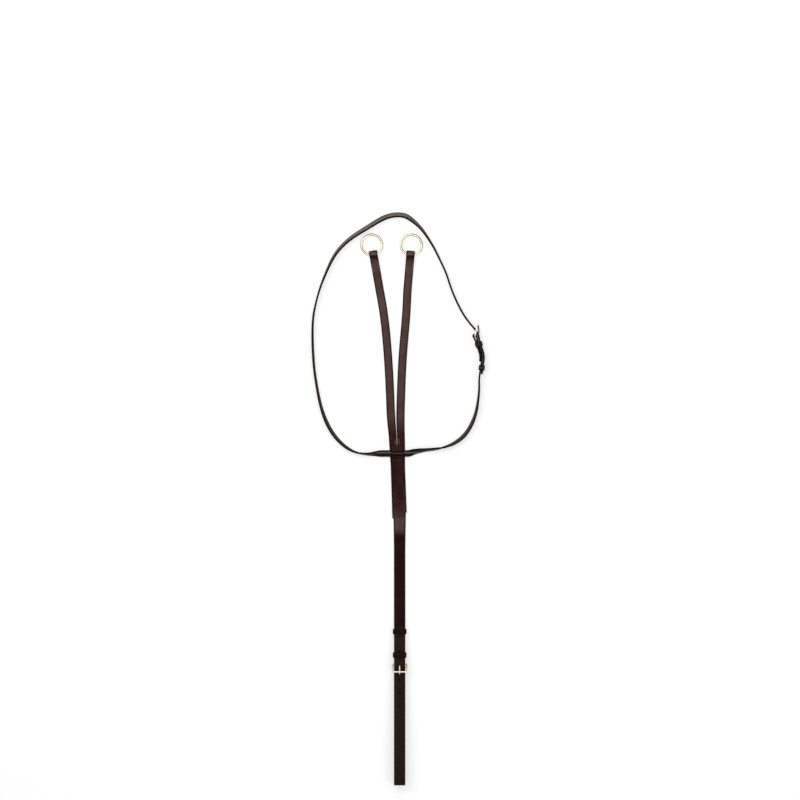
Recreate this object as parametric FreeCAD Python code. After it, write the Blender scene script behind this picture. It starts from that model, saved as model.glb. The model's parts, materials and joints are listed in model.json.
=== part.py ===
"""Running martingale, laid out flat: fork strap with two rein rings, neck strap, girth strap.

Millimetres. The strap lies in the XY plane on z = 0, rings towards +Y, girth loop towards -Y.
The origin is on the underside of the fork strap, where the neck strap crosses it.
"""
import FreeCAD, Part
import math
import os

V = FreeCAD.Vector

# Fork strap: one wide strap, slit up the middle into two branches
FORK_THICK = 3.4
FORK_WIDTH = 30.2            # at the end of the slit
FORK_WAIST_WIDTH = 27.2      # just below the neck strap's crossing
FORK_WAIST_Y = -24.0
FORK_END_WIDTH = 27.8        # where it is sewn down on the girth strap
FORK_END_Y = -118.0
FORK_END_SLANT = 5.7         # the end is cut off slanting: lower by this on the left
FORK_END_THICK = 1.2         # skived edge
SLIT_END_Y = 20.0
SLIT_WIDTH = 0.6
FORK_LEAN = math.radians(1.95)
BRANCH_WIDTH = 15.9
LEFT_BRANCH = [V(-12.1, 68), V(-13.6, 102), V(-18.6, 193), V(-28.9, 284)]
RIGHT_BRANCH = [V(5.8, 68), V(6.5, 102), V(10.7, 193), V(17.8, 284)]
LEFT_RING_X = -48.8
RIGHT_RING_X = 26.2
RING_Y = 396.0
LEFT_RING_CENTRE = V(LEFT_RING_X, RING_Y)
RIGHT_RING_CENTRE = V(RIGHT_RING_X, RING_Y)
LEFT_LEAN = math.radians(10.0)
RIGHT_LEAN = math.radians(-4.8)

# Rein rings and the fold of leather round each
RING_INNER = 35.0
RING_WIRE = 4.5
RING_PLAY = 0.15
RING_SLACK = 2.0             # room for the ring to slide in its fold, towards the ring's middle
FOLD_THICK = 2.8
TURNBACK_THICK = 2.2
TURNBACK_LENGTH = 42.0
FOLD_CLOSES = 11.5
BRANCH_END_LENGTH = 62.0

# Girth strap and its buckled loop
GIRTH_WIDTH = 21.6
GIRTH_TOP_WIDTH = 23.4
GIRTH_THICK = 3.0
GIRTH_X = 4.2
GIRTH_NECKING_Y = -180.0
SPLICE_LENGTH = 58.0
SPLICE_TIP_THICK = 0.8
GIRTH_BUCKLE_Y = -400.0
GIRTH_LOOP_LENGTH = 219.0    # from the buckle's bar to the start of the end turn
GIRTH_TURN_RADIUS = 8.0      # inside of the end turn
CHAPE_THICK = 2.0
CHAPE_LENGTH = 42.0
GIRTH_UNDER_RAIL = 2.5
GIRTH_RAMP_FRONT = 35.0      # rises to pass over the keepers' lower sides
GIRTH_RAMP_BACK = 40.0
GIRTH_LEVEL_BEFORE = 10.0
GIRTH_SPARE_SHIFT = 6.0      # holes below the buckle, nearer the loop

# Neck strap
NECK_WIDTH = 12.7
NECK_THICK = 3.4
NECK_FOLD_THICK = 3.2        # of the end that is folded round the bar and sewn down
CROSSING_STRAIGHT = 19.0     # half length of the straight, flat stretch at the crossing
NECK_STEP = 9.0
NECK_BUCKLE_X = 147.0
NECK_BUCKLE_Y = 223.3
NECK_BUCKLE = V(NECK_BUCKLE_X, NECK_BUCKLE_Y)
NECK_BUCKLE_HEADING = math.radians(18.5)
NECK_BEND_START = 32.0       # straight stretch behind the bar
NECK_BEND = math.radians(26.5)
NECK_BEND_LENGTH = 16.0
BEND_FLATS = 0.08            # the bend is made of short flats; stitches clear them by this
NECK_TURNBACK = 51.0         # end of the sewn-down turnback
NECK_STRAIGHT_TO = 80.0      # end of the straight stretch under the keepers
NECK_UNDER_RAIL = 3.0        # middle of the billet above the bar, where it goes under the rail
LAYER_GAP = 0.3
EDGE_LIFT = 4.2              # under the strap's edge where the buckle frame stands on the ground

# Loop on the fork that the neck strap runs through
LOOP_WIDTH = 24.0
LOOP_THICK = 2.0
LOOP_FOOT_UPPER = 5.0
LOOP_FOOT_LOWER = 6.4
LOOP_SIDE_GAP = 1.0
LOOP_RAMP = 2.4

# Buckles: bar, frame and tongue
BAR_RADIUS = 1.4
FRAME_RADIUS = 1.5
FRAME_LENGTH = 17.0
FRAME_CORNER = 4.0
FRAME_SIDE_GAP = 1.0
FRAME_TILT = math.radians(32.0)
FOLD_BORE_PLAY = 0.10
BUCKLE_FOLD_MEETS = 10.0     # behind the bar, where the two layers come together
TONGUE_RADIUS = 1.2
TONGUE_EYE_RADIUS = 2.9
TONGUE_EYE_WIDTH = 5.0
TONGUE_PLAY = 0.08
TONGUE_SLOT = 6.4            # slot in the leather fold
TONGUE_REST = 0.05
TONGUE_KNEE = 10.4           # bend, behind the point that lies on the rail
TONGUE_TIP = 3.6             # tip, beyond that point
TONGUE_HOLE_LENGTH = 8.4
TONGUE_HOLE_PLAY = 0.8       # on each side of the tongue
BILLET_TAIL = 74.0           # from the bar to the billet's tip
TIP_LENGTH = 11.0
HOLE_RADIUS = 2.0
HOLE_PITCH = 24.0
SPARE_HOLES = 2              # behind the buckle
LOOP_HOLES = 3               # before the girth buckle

# Keepers
KEEPER_WIDTH = 10.0
KEEPER_THICK = 1.8
KEEPER_PLAY = 0.4
FIXED_KEEPER_AT = 17.5
RUNNING_KEEPER_AT = 62.0

# Thread
STITCH_LENGTH = 2.6
STITCH_WIDTH = 0.8
STITCH_HEIGHT = 0.25
STITCH_PITCH = 3.6
STITCH_INSET = 2.2
SLIT_STITCH_RADIUS = 3.9     # round the end of the slit
SLIT_STITCH_UP = 7.0         # and up on both sides of it

WIRE_RADIUS = RING_WIRE / 2
RING_RADIUS = RING_INNER / 2 + WIRE_RADIUS
BORE_RADIUS = BAR_RADIUS + FOLD_BORE_PLAY
NECK_FOLD_RADIUS = BORE_RADIUS + NECK_FOLD_THICK
CHAPE_RADIUS = BORE_RADIUS + CHAPE_THICK


# ---------------------------------------------------------------- small helpers

def face_of(points):
    """Plane face through a closed list of points."""
    return Part.Face(Part.makePolygon(points + [points[0]]))


def plan_prism(points, low, high):
    """Outline in the XY plane, extruded from low to high."""
    outline = [V(p.x, p.y, low) for p in points]
    return face_of(outline).extrude(V(0, 0, high - low))


def side_prism(points, width):
    """Outline of (along, up) pairs, extruded by its width about the local XY plane."""
    outline = [V(along, up, -width / 2) for along, up in points]
    return face_of(outline).extrude(V(0, 0, width))


def rod(start, end, radius):
    return Part.makeCylinder(radius, (end - start).Length, start, end - start)


def ball(centre, radius):
    return Part.makeSphere(radius, centre)


def fused(solids):
    """One solid from several that touch or overlap."""
    shape = solids[0].multiFuse(solids[1:]).removeSplitter()
    return shape.Solids[0]


def axes_placement(origin, along, up):
    """Puts local X on `along`, local Y on `up` and local Z across the strap."""
    return FreeCAD.Placement(origin, FreeCAD.Rotation(along, up, along.cross(up), "XYZ"))


def placed(shape, placement):
    moved = shape.copy()
    moved.Placement = placement.multiply(shape.Placement)
    return moved


def on_line(pairs, at):
    """Straight interpolation in a list of (position, value) pairs."""
    if at <= pairs[0][0]:
        return pairs[0][1]
    for (left, low), (right, high) in zip(pairs, pairs[1:]):
        if at <= right:
            return low + (high - low) * (at - left) / (right - left)
    return pairs[-1][1]


def stitch(centre, along, up):
    """One thread stitch lying on a face whose outward normal is `up`."""
    block = Part.makeBox(STITCH_LENGTH, STITCH_HEIGHT, STITCH_WIDTH,
                         V(-STITCH_LENGTH / 2, 0, -STITCH_WIDTH / 2))
    return placed(block, axes_placement(centre, along, up))


def stitch_row(start, end, up):
    """Evenly pitched stitches from start to end."""
    run = end - start
    count = max(1, int(run.Length / STITCH_PITCH + 0.5))
    along = V(run).normalize()
    return [stitch(start + run * ((i + 0.5) / count), along, up) for i in range(count)]


# ---------------------------------------------------------------- rings and their folds

def ring_hinge_offset():
    """From the ring's centre to its turning axis in the fold: mid-way in the wire's rise."""
    chord = math.sqrt(RING_RADIUS ** 2 - (BRANCH_WIDTH / 2) ** 2)
    return (RING_RADIUS + chord) / 2


def ring_bore_radius():
    """Room for the curved wire to turn about a straight axis across the whole fold."""
    rise = RING_RADIUS - ring_hinge_offset()
    slope = math.asin(BRANCH_WIDTH / 2 / RING_RADIUS)
    return rise + WIRE_RADIUS / math.cos(slope) + RING_PLAY


def ring_axis_height():
    return TURNBACK_THICK + ring_bore_radius()


def ring_tilt():
    """The ring's far side rests on the ground."""
    far = RING_RADIUS + ring_hinge_offset()
    return math.asin((ring_axis_height() - WIRE_RADIUS) / far)


def branch_direction(lean):
    """From the ring down the branch."""
    return V(math.sin(lean), -math.cos(lean), 0)


def ring_hinge_point(centre, lean):
    down = branch_direction(lean)
    reach = ring_hinge_offset() * math.cos(ring_tilt())
    return V(centre.x, centre.y, 0) + down * reach + V(0, 0, ring_axis_height())


def ring(centre, lean):
    """Round-wire ring, tilted about its fold so that the far side lies on the ground."""
    hinge = ring_hinge_point(centre, lean)
    wire = Part.makeTorus(RING_RADIUS, WIRE_RADIUS, V(-ring_hinge_offset(), 0, 0), V(0, 1, 0))
    wire.rotate(V(0, 0, 0), V(0, 0, 1), math.degrees(ring_tilt()))
    return placed(wire, axes_placement(hinge, branch_direction(lean), V(0, 0, 1)))


def ring_passage(bore, axis):
    """Oblong hole across the fold, with room for the ring to slide."""
    span = 2 * BRANCH_WIDTH
    ends = [Part.makeCylinder(bore, span, V(x, axis, -BRANCH_WIDTH)) for x in (-RING_SLACK, 0)]
    middle = Part.makeBox(RING_SLACK, 2 * bore, span, V(-RING_SLACK, axis - bore, -BRANCH_WIDTH))
    return fused(ends + [middle])


def branch_end(centre, lean):
    """Last stretch of a branch: over the ring's wire, back underneath and sewn down."""
    bore = ring_bore_radius()
    axis = ring_axis_height()
    outer = bore + FOLD_THICK
    both = TURNBACK_THICK + FORK_THICK
    closes = FOLD_CLOSES
    shell = side_prism([(-RING_SLACK, 0), (BRANCH_END_LENGTH, 0), (BRANCH_END_LENGTH, FORK_THICK),
                        (TURNBACK_LENGTH + 4, FORK_THICK + 0.4), (TURNBACK_LENGTH - 8, both),
                        (closes + 3, both), (closes - 2, both + 0.9),
                        (outer * 0.42, axis + outer * 0.907), (0, axis + outer * 0.99),
                        (-RING_SLACK, axis + outer * 0.99)],
                       BRANCH_WIDTH)
    nose = Part.makeCylinder(outer, BRANCH_WIDTH, V(-RING_SLACK, axis, -BRANCH_WIDTH / 2))
    below = Part.makeBox(3 * outer, 2 * outer, 2 * BRANCH_WIDTH,
                         V(-1.5 * outer - RING_SLACK, -2 * outer, -BRANCH_WIDTH))
    wedge = side_prism([(bore * 0.35, TURNBACK_THICK + 0.22), (closes, TURNBACK_THICK + 0.1),
                        (closes, TURNBACK_THICK + 0.25), (bore * 0.35, axis + bore * 0.93)],
                       2 * BRANCH_WIDTH)
    solid = fused([shell, nose]).cut(below).cut(ring_passage(bore, axis)).cut(wedge)
    hinge = ring_hinge_point(centre, lean)
    return placed(solid.Solids[0], axes_placement(V(hinge.x, hinge.y, 0), branch_direction(lean),
                                                  V(0, 0, 1)))


def ring_stitching(centre, lean):
    """Two rows that sew the turned-back end of a branch to its front."""
    hinge = ring_hinge_point(centre, lean)
    down = branch_direction(lean)
    across = V(-down.y, down.x, 0)
    top = V(hinge.x, hinge.y, TURNBACK_THICK + FORK_THICK)
    rows = []
    for side in (-1, 1):
        edge = top + across * (side * (BRANCH_WIDTH / 2 - STITCH_INSET))
        rows += stitch_row(edge + down * (FOLD_CLOSES + 3.5), edge + down * (TURNBACK_LENGTH - 9),
                           V(0, 0, 1))
    return Part.makeCompound(rows)


# ---------------------------------------------------------------- fork strap

def fork_axis_x(y):
    """Middle of the fork strap, which leans a little off the Y axis."""
    return -math.tan(FORK_LEAN) * y


def branch_plan(points, centre, lean, side):
    """Flat outline of a branch from the end of the slit to its sewn end."""
    half_slit = SLIT_WIDTH / 2
    start_width = FORK_WIDTH / 2 - half_slit
    hinge = ring_hinge_point(centre, lean)
    down = branch_direction(lean)
    last = V(hinge.x, hinge.y, 0) + down * BRANCH_END_LENGTH
    first = V(fork_axis_x(SLIT_END_Y) + side * (half_slit + start_width / 2), SLIT_END_Y)
    line = Part.BSplineCurve()
    line.interpolate(Points=[first] + points + [last],
                     InitialTangent=V(-math.sin(FORK_LEAN), math.cos(FORK_LEAN), 0),
                     FinalTangent=V(-down.x, -down.y, 0))
    left, right = [], []
    steps = 24
    for i in range(steps + 1):
        u = line.FirstParameter + (line.LastParameter - line.FirstParameter) * i / steps
        here = line.value(u)
        tangent = line.tangent(u)[0]
        across = V(-tangent.y, tangent.x, 0)
        width = on_line([(SLIT_END_Y, start_width), (LEFT_BRANCH[0].y, BRANCH_WIDTH)], here.y)
        left.append(here + across * (width / 2))
        right.append(here - across * (width / 2))
    return edge_face(left, right)


def edge_face(left, right):
    """Face between two smooth edges that run the same way."""
    edges = []
    for points in (left, right):
        curve = Part.BSplineCurve()
        curve.interpolate(Points=points)
        edges.append(curve.toShape())
    ends = [Part.makeLine(left[0], right[0]), Part.makeLine(left[-1], right[-1])]
    return Part.Face(Part.Wire(Part.__sortEdges__(edges + ends)))


def fork_top(y):
    """Height of the fork's upper face, which climbs on to the girth strap along the splice."""
    splice_top = FORK_END_Y + SPLICE_LENGTH
    rise = GIRTH_THICK + FORK_END_THICK - FORK_THICK
    return FORK_THICK + rise * max(0, splice_top - y) / SPLICE_LENGTH


def fork_end_y(off_middle):
    """Y of the slanting end, at a distance to the right of the fork's middle."""
    return FORK_END_Y + FORK_END_SLANT * off_middle / (FORK_END_WIDTH / 2)


def fork_body():
    """Wide lower part of the fork, skived on its underside where it laps the girth strap."""
    top = FORK_WIDTH / 2
    end = FORK_END_WIDTH / 2
    x_top = fork_axis_x(SLIT_END_Y)
    x_end = fork_axis_x(FORK_END_Y)
    x_waist = fork_axis_x(FORK_WAIST_Y)
    waist = FORK_WAIST_WIDTH / 2
    outline = [V(x_top - top, SLIT_END_Y), V(x_waist - waist, FORK_WAIST_Y),
               V(x_end - end, fork_end_y(-end)), V(x_end + end, fork_end_y(end)),
               V(x_waist + waist, FORK_WAIST_Y), V(x_top + top, SLIT_END_Y)]
    splice_top = FORK_END_Y + SPLICE_LENGTH
    low_y = FORK_END_Y - FORK_END_SLANT
    profile = [V(0, SLIT_END_Y, 0), V(0, splice_top, 0), V(0, splice_top, SPLICE_TIP_THICK),
               V(0, FORK_END_Y, GIRTH_THICK), V(0, low_y, GIRTH_THICK), V(0, low_y, fork_top(low_y)),
               V(0, splice_top, FORK_THICK), V(0, SLIT_END_Y, FORK_THICK)]
    side = face_of([p - V(FORK_WIDTH, 0, 0) for p in profile]).extrude(V(2 * FORK_WIDTH, 0, 0))
    return plan_prism(outline, 0, 2 * fork_top(low_y)).common(side).Solids[0]


def fork_strap():
    pieces = [fork_body()]
    for points, centre, lean, side in ((LEFT_BRANCH, LEFT_RING_CENTRE, LEFT_LEAN, -1),
                                       (RIGHT_BRANCH, RIGHT_RING_CENTRE, RIGHT_LEAN, 1)):
        flat = branch_plan(points, centre, lean, side).extrude(V(0, 0, FORK_THICK))
        pieces += [flat, branch_end(centre, lean)]
    return fused(pieces)


def splice_stitching():
    """Two long rows and one along the slanting end, where the fork is sewn on the girth strap."""
    splice_top = FORK_END_Y + SPLICE_LENGTH
    up = V(0, fork_top(FORK_END_Y) - FORK_THICK, SPLICE_LENGTH).normalize()
    inset = GIRTH_WIDTH / 2 - STITCH_INSET
    corner = STITCH_PITCH * 0.7

    def on_top(x, y):
        return V(x, y, fork_top(y))

    def end_row_y(x):
        return fork_end_y(x - fork_axis_x(FORK_END_Y)) + STITCH_INSET

    rows = []
    for side in (-1, 1):
        x = GIRTH_X + side * inset
        rows += stitch_row(on_top(x, splice_top - STITCH_PITCH), on_top(x, end_row_y(x) + corner), up)
    left, right = GIRTH_X - inset + corner, GIRTH_X + inset - corner
    rows += stitch_row(on_top(left, end_row_y(left)), on_top(right, end_row_y(right)), up)
    return Part.makeCompound(rows)


def slit_stitching():
    """Row of thread round the end of the slit, so that it can't run on."""
    radius = SLIT_STITCH_RADIUS
    centre = V(fork_axis_x(SLIT_END_Y), SLIT_END_Y, FORK_THICK)
    up = V(0, 0, 1)
    turns = max(2, int(math.pi * radius / STITCH_PITCH))
    rows = []
    for i in range(turns):
        angle = math.pi * (i + 0.5) / turns
        spoke = V(math.cos(angle), -math.sin(angle), 0)
        rows.append(stitch(centre + spoke * radius, up.cross(spoke), up))
    for side in (-1, 1):
        foot = centre + V(side * radius, 0.5, 0)
        rows += stitch_row(foot, foot + V(0, SLIT_STITCH_UP, 0), up)
    return Part.makeCompound(rows)


# ---------------------------------------------------------------- loop for the neck strap

def neck_channel():
    """Half width, floor and ceiling of the space that the neck strap slides in."""
    floor = FORK_THICK
    ceiling = floor + LAYER_GAP + NECK_THICK + LAYER_GAP
    return NECK_WIDTH / 2 + LOOP_SIDE_GAP, floor, ceiling


def neck_loop():
    half, floor, ceiling = neck_channel()
    ramp = half + LOOP_RAMP
    skin = floor + LOOP_THICK
    top = ceiling + LOOP_THICK
    upper = ramp + LOOP_FOOT_UPPER
    lower = ramp + LOOP_FOOT_LOWER
    inside = LOOP_THICK * 0.9
    profile = [(-lower, floor), (-half - 0.2, floor), (-half, ceiling), (half, ceiling),
               (half + 0.2, floor), (upper, floor), (upper, skin), (ramp, skin),
               (ramp - 0.6, skin + 0.8), (half + inside * 0.6, top - 0.5), (half - 0.5, top),
               (-half + 0.5, top), (-half - inside * 0.6, top - 0.5), (-ramp + 0.6, skin + 0.8),
               (-ramp, skin), (-lower, skin)]
    points = [V(-LOOP_WIDTH / 2, y, z) for y, z in profile]
    solid = face_of(points).extrude(V(LOOP_WIDTH, 0, 0))
    solid.translate(V(fork_axis_x(0), 0, 0))
    return solid


def neck_loop_stitching():
    """One row across the middle of each foot."""
    half, floor, _ = neck_channel()
    reach = LOOP_WIDTH / 2 - STITCH_INSET
    rows = []
    for side, foot in ((1, LOOP_FOOT_UPPER), (-1, LOOP_FOOT_LOWER)):
        y = side * (half + LOOP_RAMP + foot / 2)
        rows += stitch_row(V(-reach, y, floor + LOOP_THICK), V(reach, y, floor + LOOP_THICK),
                           V(0, 0, 1))
    return Part.makeCompound(rows)


# ---------------------------------------------------------------- buckles, in local axes
# Local X runs along the strap from the buckle's front rail over the bar to the keepers, local Y
# is the strap's outward normal and local Z is across it. The bar's middle is the local origin.

def frame_half_width(strap_width):
    return strap_width / 2 + FRAME_SIDE_GAP + FRAME_RADIUS


def buckle_frame(strap_width):
    """Round-wire frame with a straight bar, tilted up off the strap."""
    half = frame_half_width(strap_width)
    corner = FRAME_CORNER
    bend = corner * (1 - math.sqrt(0.5))
    front = -FRAME_LENGTH
    edges = [
        Part.LineSegment(V(0, 0, -half), V(front + corner, 0, -half)),
        Part.Arc(V(front + corner, 0, -half), V(front + bend, 0, -half + bend),
                 V(front, 0, -half + corner)),
        Part.LineSegment(V(front, 0, -half + corner), V(front, 0, half - corner)),
        Part.Arc(V(front, 0, half - corner), V(front + bend, 0, half - bend),
                 V(front + corner, 0, half)),
        Part.LineSegment(V(front + corner, 0, half), V(0, 0, half)),
    ]
    path = Part.Wire([edge.toShape() for edge in edges])
    section = Part.Wire(Part.makeCircle(FRAME_RADIUS, V(0, 0, -half), V(1, 0, 0)))
    rails = path.makePipeShell([section], True, False)
    bar = rod(V(0, 0, -half), V(0, 0, half), BAR_RADIUS)
    frame = fused([rails, bar, ball(V(0, 0, -half), FRAME_RADIUS), ball(V(0, 0, half), FRAME_RADIUS)])
    frame.rotate(V(0, 0, 0), V(0, 0, 1), -math.degrees(FRAME_TILT))
    return frame


def front_rail():
    """Middle of the frame's front rail, as (along, up)."""
    return -FRAME_LENGTH * math.cos(FRAME_TILT), FRAME_LENGTH * math.sin(FRAME_TILT)


def buckle_tongue():
    """Eye round the bar and a bent prong that lies on the front rail."""
    rail_x, rail_y = front_rail()
    rise = 0.2
    stand = FRAME_RADIUS + TONGUE_RADIUS + TONGUE_REST
    lean = V(rise, 1, 0).normalize()
    over = V(rail_x, rail_y, 0) + lean * stand
    run = V(-1, rise, 0).normalize()
    knee = over - run * TONGUE_KNEE
    tip = over + run * TONGUE_TIP
    root = V(-1.1, 2.0, 0)
    prong = [rod(root, knee, TONGUE_RADIUS), ball(knee, TONGUE_RADIUS),
             rod(knee, tip, TONGUE_RADIUS), ball(tip, TONGUE_RADIUS)]
    half = TONGUE_EYE_WIDTH / 2
    eye = rod(V(0, 0, -half), V(0, 0, half), TONGUE_EYE_RADIUS)
    bore = rod(V(0, 0, -TONGUE_EYE_WIDTH), V(0, 0, TONGUE_EYE_WIDTH), BAR_RADIUS + TONGUE_PLAY)
    return fused(prong + [eye]).cut(bore).Solids[0]


def buckle_fold(strap_width, outer, length, lower, upper, single):
    """Leather folded round the bar, sewn together behind it, with a slot for the tongue.

    outer is the fold's outer radius. lower and upper are the outer faces of the sewn layers
    behind the bar; single is the face where the turned-back layer runs out, at the given length.
    """
    closes = BUCKLE_FOLD_MEETS
    below = [(0.7, -outer * 0.983), (closes, lower)] if lower > -outer else []
    shell = side_prism([(0, -outer * 0.98)] + below + [
        (length - 4, lower), (length - 1, single), (length, single), (length, upper),
        (closes, upper), (0.7, outer * 0.983), (0, outer * 0.98)], strap_width)
    half = strap_width / 2
    nose = rod(V(0, 0, -half), V(0, 0, half), outer)
    bore = rod(V(0, 0, -2 * half), V(0, 0, 2 * half), BORE_RADIUS)
    seam = (lower + upper) / 2
    wedge = side_prism([(0.6, -BORE_RADIUS * 0.9), (closes - 1.5, seam - 0.06),
                        (closes - 1.5, seam + 0.06), (0.6, BORE_RADIUS * 0.9)], 2 * strap_width)
    slot = Part.makeBox(outer + 5, 4 * outer, TONGUE_SLOT, V(-outer - 1, -2 * outer, -TONGUE_SLOT / 2))
    return fused([shell, nose]).cut(bore).cut(wedge).cut(slot).Solids[0]


def keeper(strap_width, low, high):
    """Closed band of leather, with its outer corners rounded."""
    half = strap_width / 2 + KEEPER_PLAY
    inner = Part.makeBox(2 * KEEPER_WIDTH, high - low, 2 * half, V(-KEEPER_WIDTH, low, -half))
    outer = Part.makeBox(KEEPER_WIDTH, high - low + 2 * KEEPER_THICK, 2 * (half + KEEPER_THICK),
                         V(-KEEPER_WIDTH / 2, low - KEEPER_THICK, -half - KEEPER_THICK))
    corners = [edge for edge in outer.Edges
               if abs(edge.Vertexes[0].X - edge.Vertexes[-1].X) > KEEPER_WIDTH / 2]
    return outer.makeFillet(KEEPER_THICK * 0.8, corners).cut(inner).Solids[0]


def billet_rise(under, over, lie):
    """Middle of the billet over the bar, as (along, up) pairs, from the rail to behind the bar.

    under is its height where it passes under the front rail, over where it lies on the fold's
    round and lie where it lies behind the fold.
    """
    return [(front_rail()[0], under), (-4.2, over - 0.2), (-0.5, over + 0.1), (3, over - 0.1),
            (12.5, lie)]


def tongue_hole():
    """Long hole that the tongue comes through, cut from the bar's level upwards."""
    width = 2 * (TONGUE_RADIUS + TONGUE_HOLE_PLAY)
    back = 0.2
    return Part.makeBox(TONGUE_HOLE_LENGTH, 2 * FRAME_LENGTH, width,
                        V(back - TONGUE_HOLE_LENGTH, 0, -width / 2))


# ---------------------------------------------------------------- neck strap
# A station is (middle, outward normal, edge direction, width) of one cross-section. A route point
# is (x, y, roll, lift): roll is the outer face's turn from upright towards facing up, in degrees,
# and lift is the height of the section's lowest corner.

NECK_ON_FORK = FORK_THICK + LAYER_GAP

ROUTE_BUCKLE_TO_CROSSING = [
    (155.2, 128.0, -2, 2.4), (153.2, 101.7, -6, 1.0), (149.2, 78.9, -14, 0), (140.9, 56.0, -22, 0),
    (125.7, 33.3, -26, 0), (111.2, 21.7, -21, 0), (92.2, 13.1, -8, 0), (73.2, 8.7, 12, 0),
    (54.2, 6.8, 19, 0), (38.0, 4.6, 38, 1.0), (28.0, 2.3, 60, 2.4),
]
ROUTE_CROSSING_TO_BUCKLE = [
    (-27.0, 0.0, 84, 3.4), (-34.0, -0.1, 64, 2.4), (-43.0, -0.5, 36, 1.0), (-52.0, -1.0, 19, 0),
    (-61.0, -0.8, 10, 0), (-70.0, 0.2, 3, 0), (-78.8, 2.3, -4, 0),
    (-95.1, 10.5, -15, 0), (-119.0, 33.3, -22, 0), (-132.9, 56.0, -22, 0), (-145.3, 90.3, -14, 0),
    (-152.5, 124.5, -10, 0), (-157.6, 158.7, -8, 0), (-160.3, 192.9, -8, 0), (-161.2, 227.0, -6, 0),
    (-159.5, 261.3, -4, 0), (-153.8, 289.8, 0, 0), (-145.3, 319.0, 5, 0), (-135.8, 343.0, 10, 0),
    (-117.5, 379.0, 19, 0), (-97.8, 401.1, 25, 0), (-78.8, 415.7, 30, 0), (-59.8, 427.5, 35, 0),
    (-40.8, 439.3, 38, 0), (-21.8, 449.0, 39, 0), (-1.8, 453.2, 39, 0), (16.2, 450.7, 39, 0),
    (27.3, 443.7, 33, 0), (40.4, 432.3, 20, 0), (58.0, 409.5, 10, 0), (71.5, 386.7, 5, 0),
    (82.6, 363.9, 3, 0), (92.8, 341.1, 2, 0), (100.4, 318.3, 2, 0.4), (110.0, 294.2, 3, 1.6),
    (121.2, 271.4, 4, 3.4), (131.2, 255.4, 3, EDGE_LIFT), (136.8, 247.9, 0, EDGE_LIFT),
]


def heading_vector(heading):
    """Direction of travel: 0 is -Y and positive turns towards +X."""
    return V(math.sin(heading), -math.cos(heading), 0)


def outward(along):
    """Normal on the outer side of the neck strap's round, seen along its travel."""
    return V(-along.y, along.x, 0)


def neck_base(at):
    """Point and direction on the bar's level line, at a distance behind the neck buckle's bar."""
    start = heading_vector(NECK_BUCKLE_HEADING)
    if at <= NECK_BEND_START:
        return NECK_BUCKLE + start * at, start
    bend_radius = NECK_BEND_LENGTH / NECK_BEND
    turned = min(at - NECK_BEND_START, NECK_BEND_LENGTH) / bend_radius
    along = heading_vector(NECK_BUCKLE_HEADING - turned)
    centre = NECK_BUCKLE + start * NECK_BEND_START - outward(start) * bend_radius
    point = centre + outward(along) * bend_radius
    return point + along * max(0, at - NECK_BEND_START - NECK_BEND_LENGTH), along


def station(point, along, roll, lift, width=NECK_WIDTH):
    """Cross-section whose lowest corner is at height lift."""
    out = outward(along)
    turn = math.radians(roll)
    normal = out * math.cos(turn) + V(0, 0, math.sin(turn))
    edge = V(0, 0, math.cos(turn)) - out * math.sin(turn)
    height = (NECK_WIDTH * abs(math.cos(turn)) + NECK_THICK * abs(math.sin(turn))) / 2
    return V(point.x, point.y, lift + height), normal, edge, width


def route_stations(route, first_along, last_along):
    """Sections along a smooth curve through the route's points."""
    curve = Part.BSplineCurve()
    spots = [V(x, y, 0) for x, y, _, _ in route]
    marks = [0.0]
    for here, after in zip(spots, spots[1:]):
        marks.append(marks[-1] + (after - here).Length)
    curve.interpolate(Points=spots, Parameters=marks, InitialTangent=first_along,
                      FinalTangent=last_along)
    rolls = [(mark, point[2]) for mark, point in zip(marks, route)]
    lifts = [(mark, point[3]) for mark, point in zip(marks, route)]
    count = int(marks[-1] / NECK_STEP)
    stations = []
    for i in range(count + 1):
        mark = marks[-1] * i / count
        tangent = curve.tangent(mark)[0]
        stations.append(station(curve.value(mark), tangent, on_line(rolls, mark),
                                on_line(lifts, mark)))
    return stations


def neck_layer(at, up, width=NECK_WIDTH):
    """Upright section beside the neck buckle, `up` outside the bar's level."""
    point, along = neck_base(at)
    return station(point + outward(along) * up, along, 0, EDGE_LIFT, width)


def carrier_offset():
    """Middle of the single strap behind the turnback."""
    return NECK_FOLD_THICK - NECK_THICK / 2


def billet_offset():
    """Middle of the billet where it lies along the strap behind the buckle."""
    return NECK_FOLD_THICK + LAYER_GAP + NECK_THICK / 2


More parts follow.
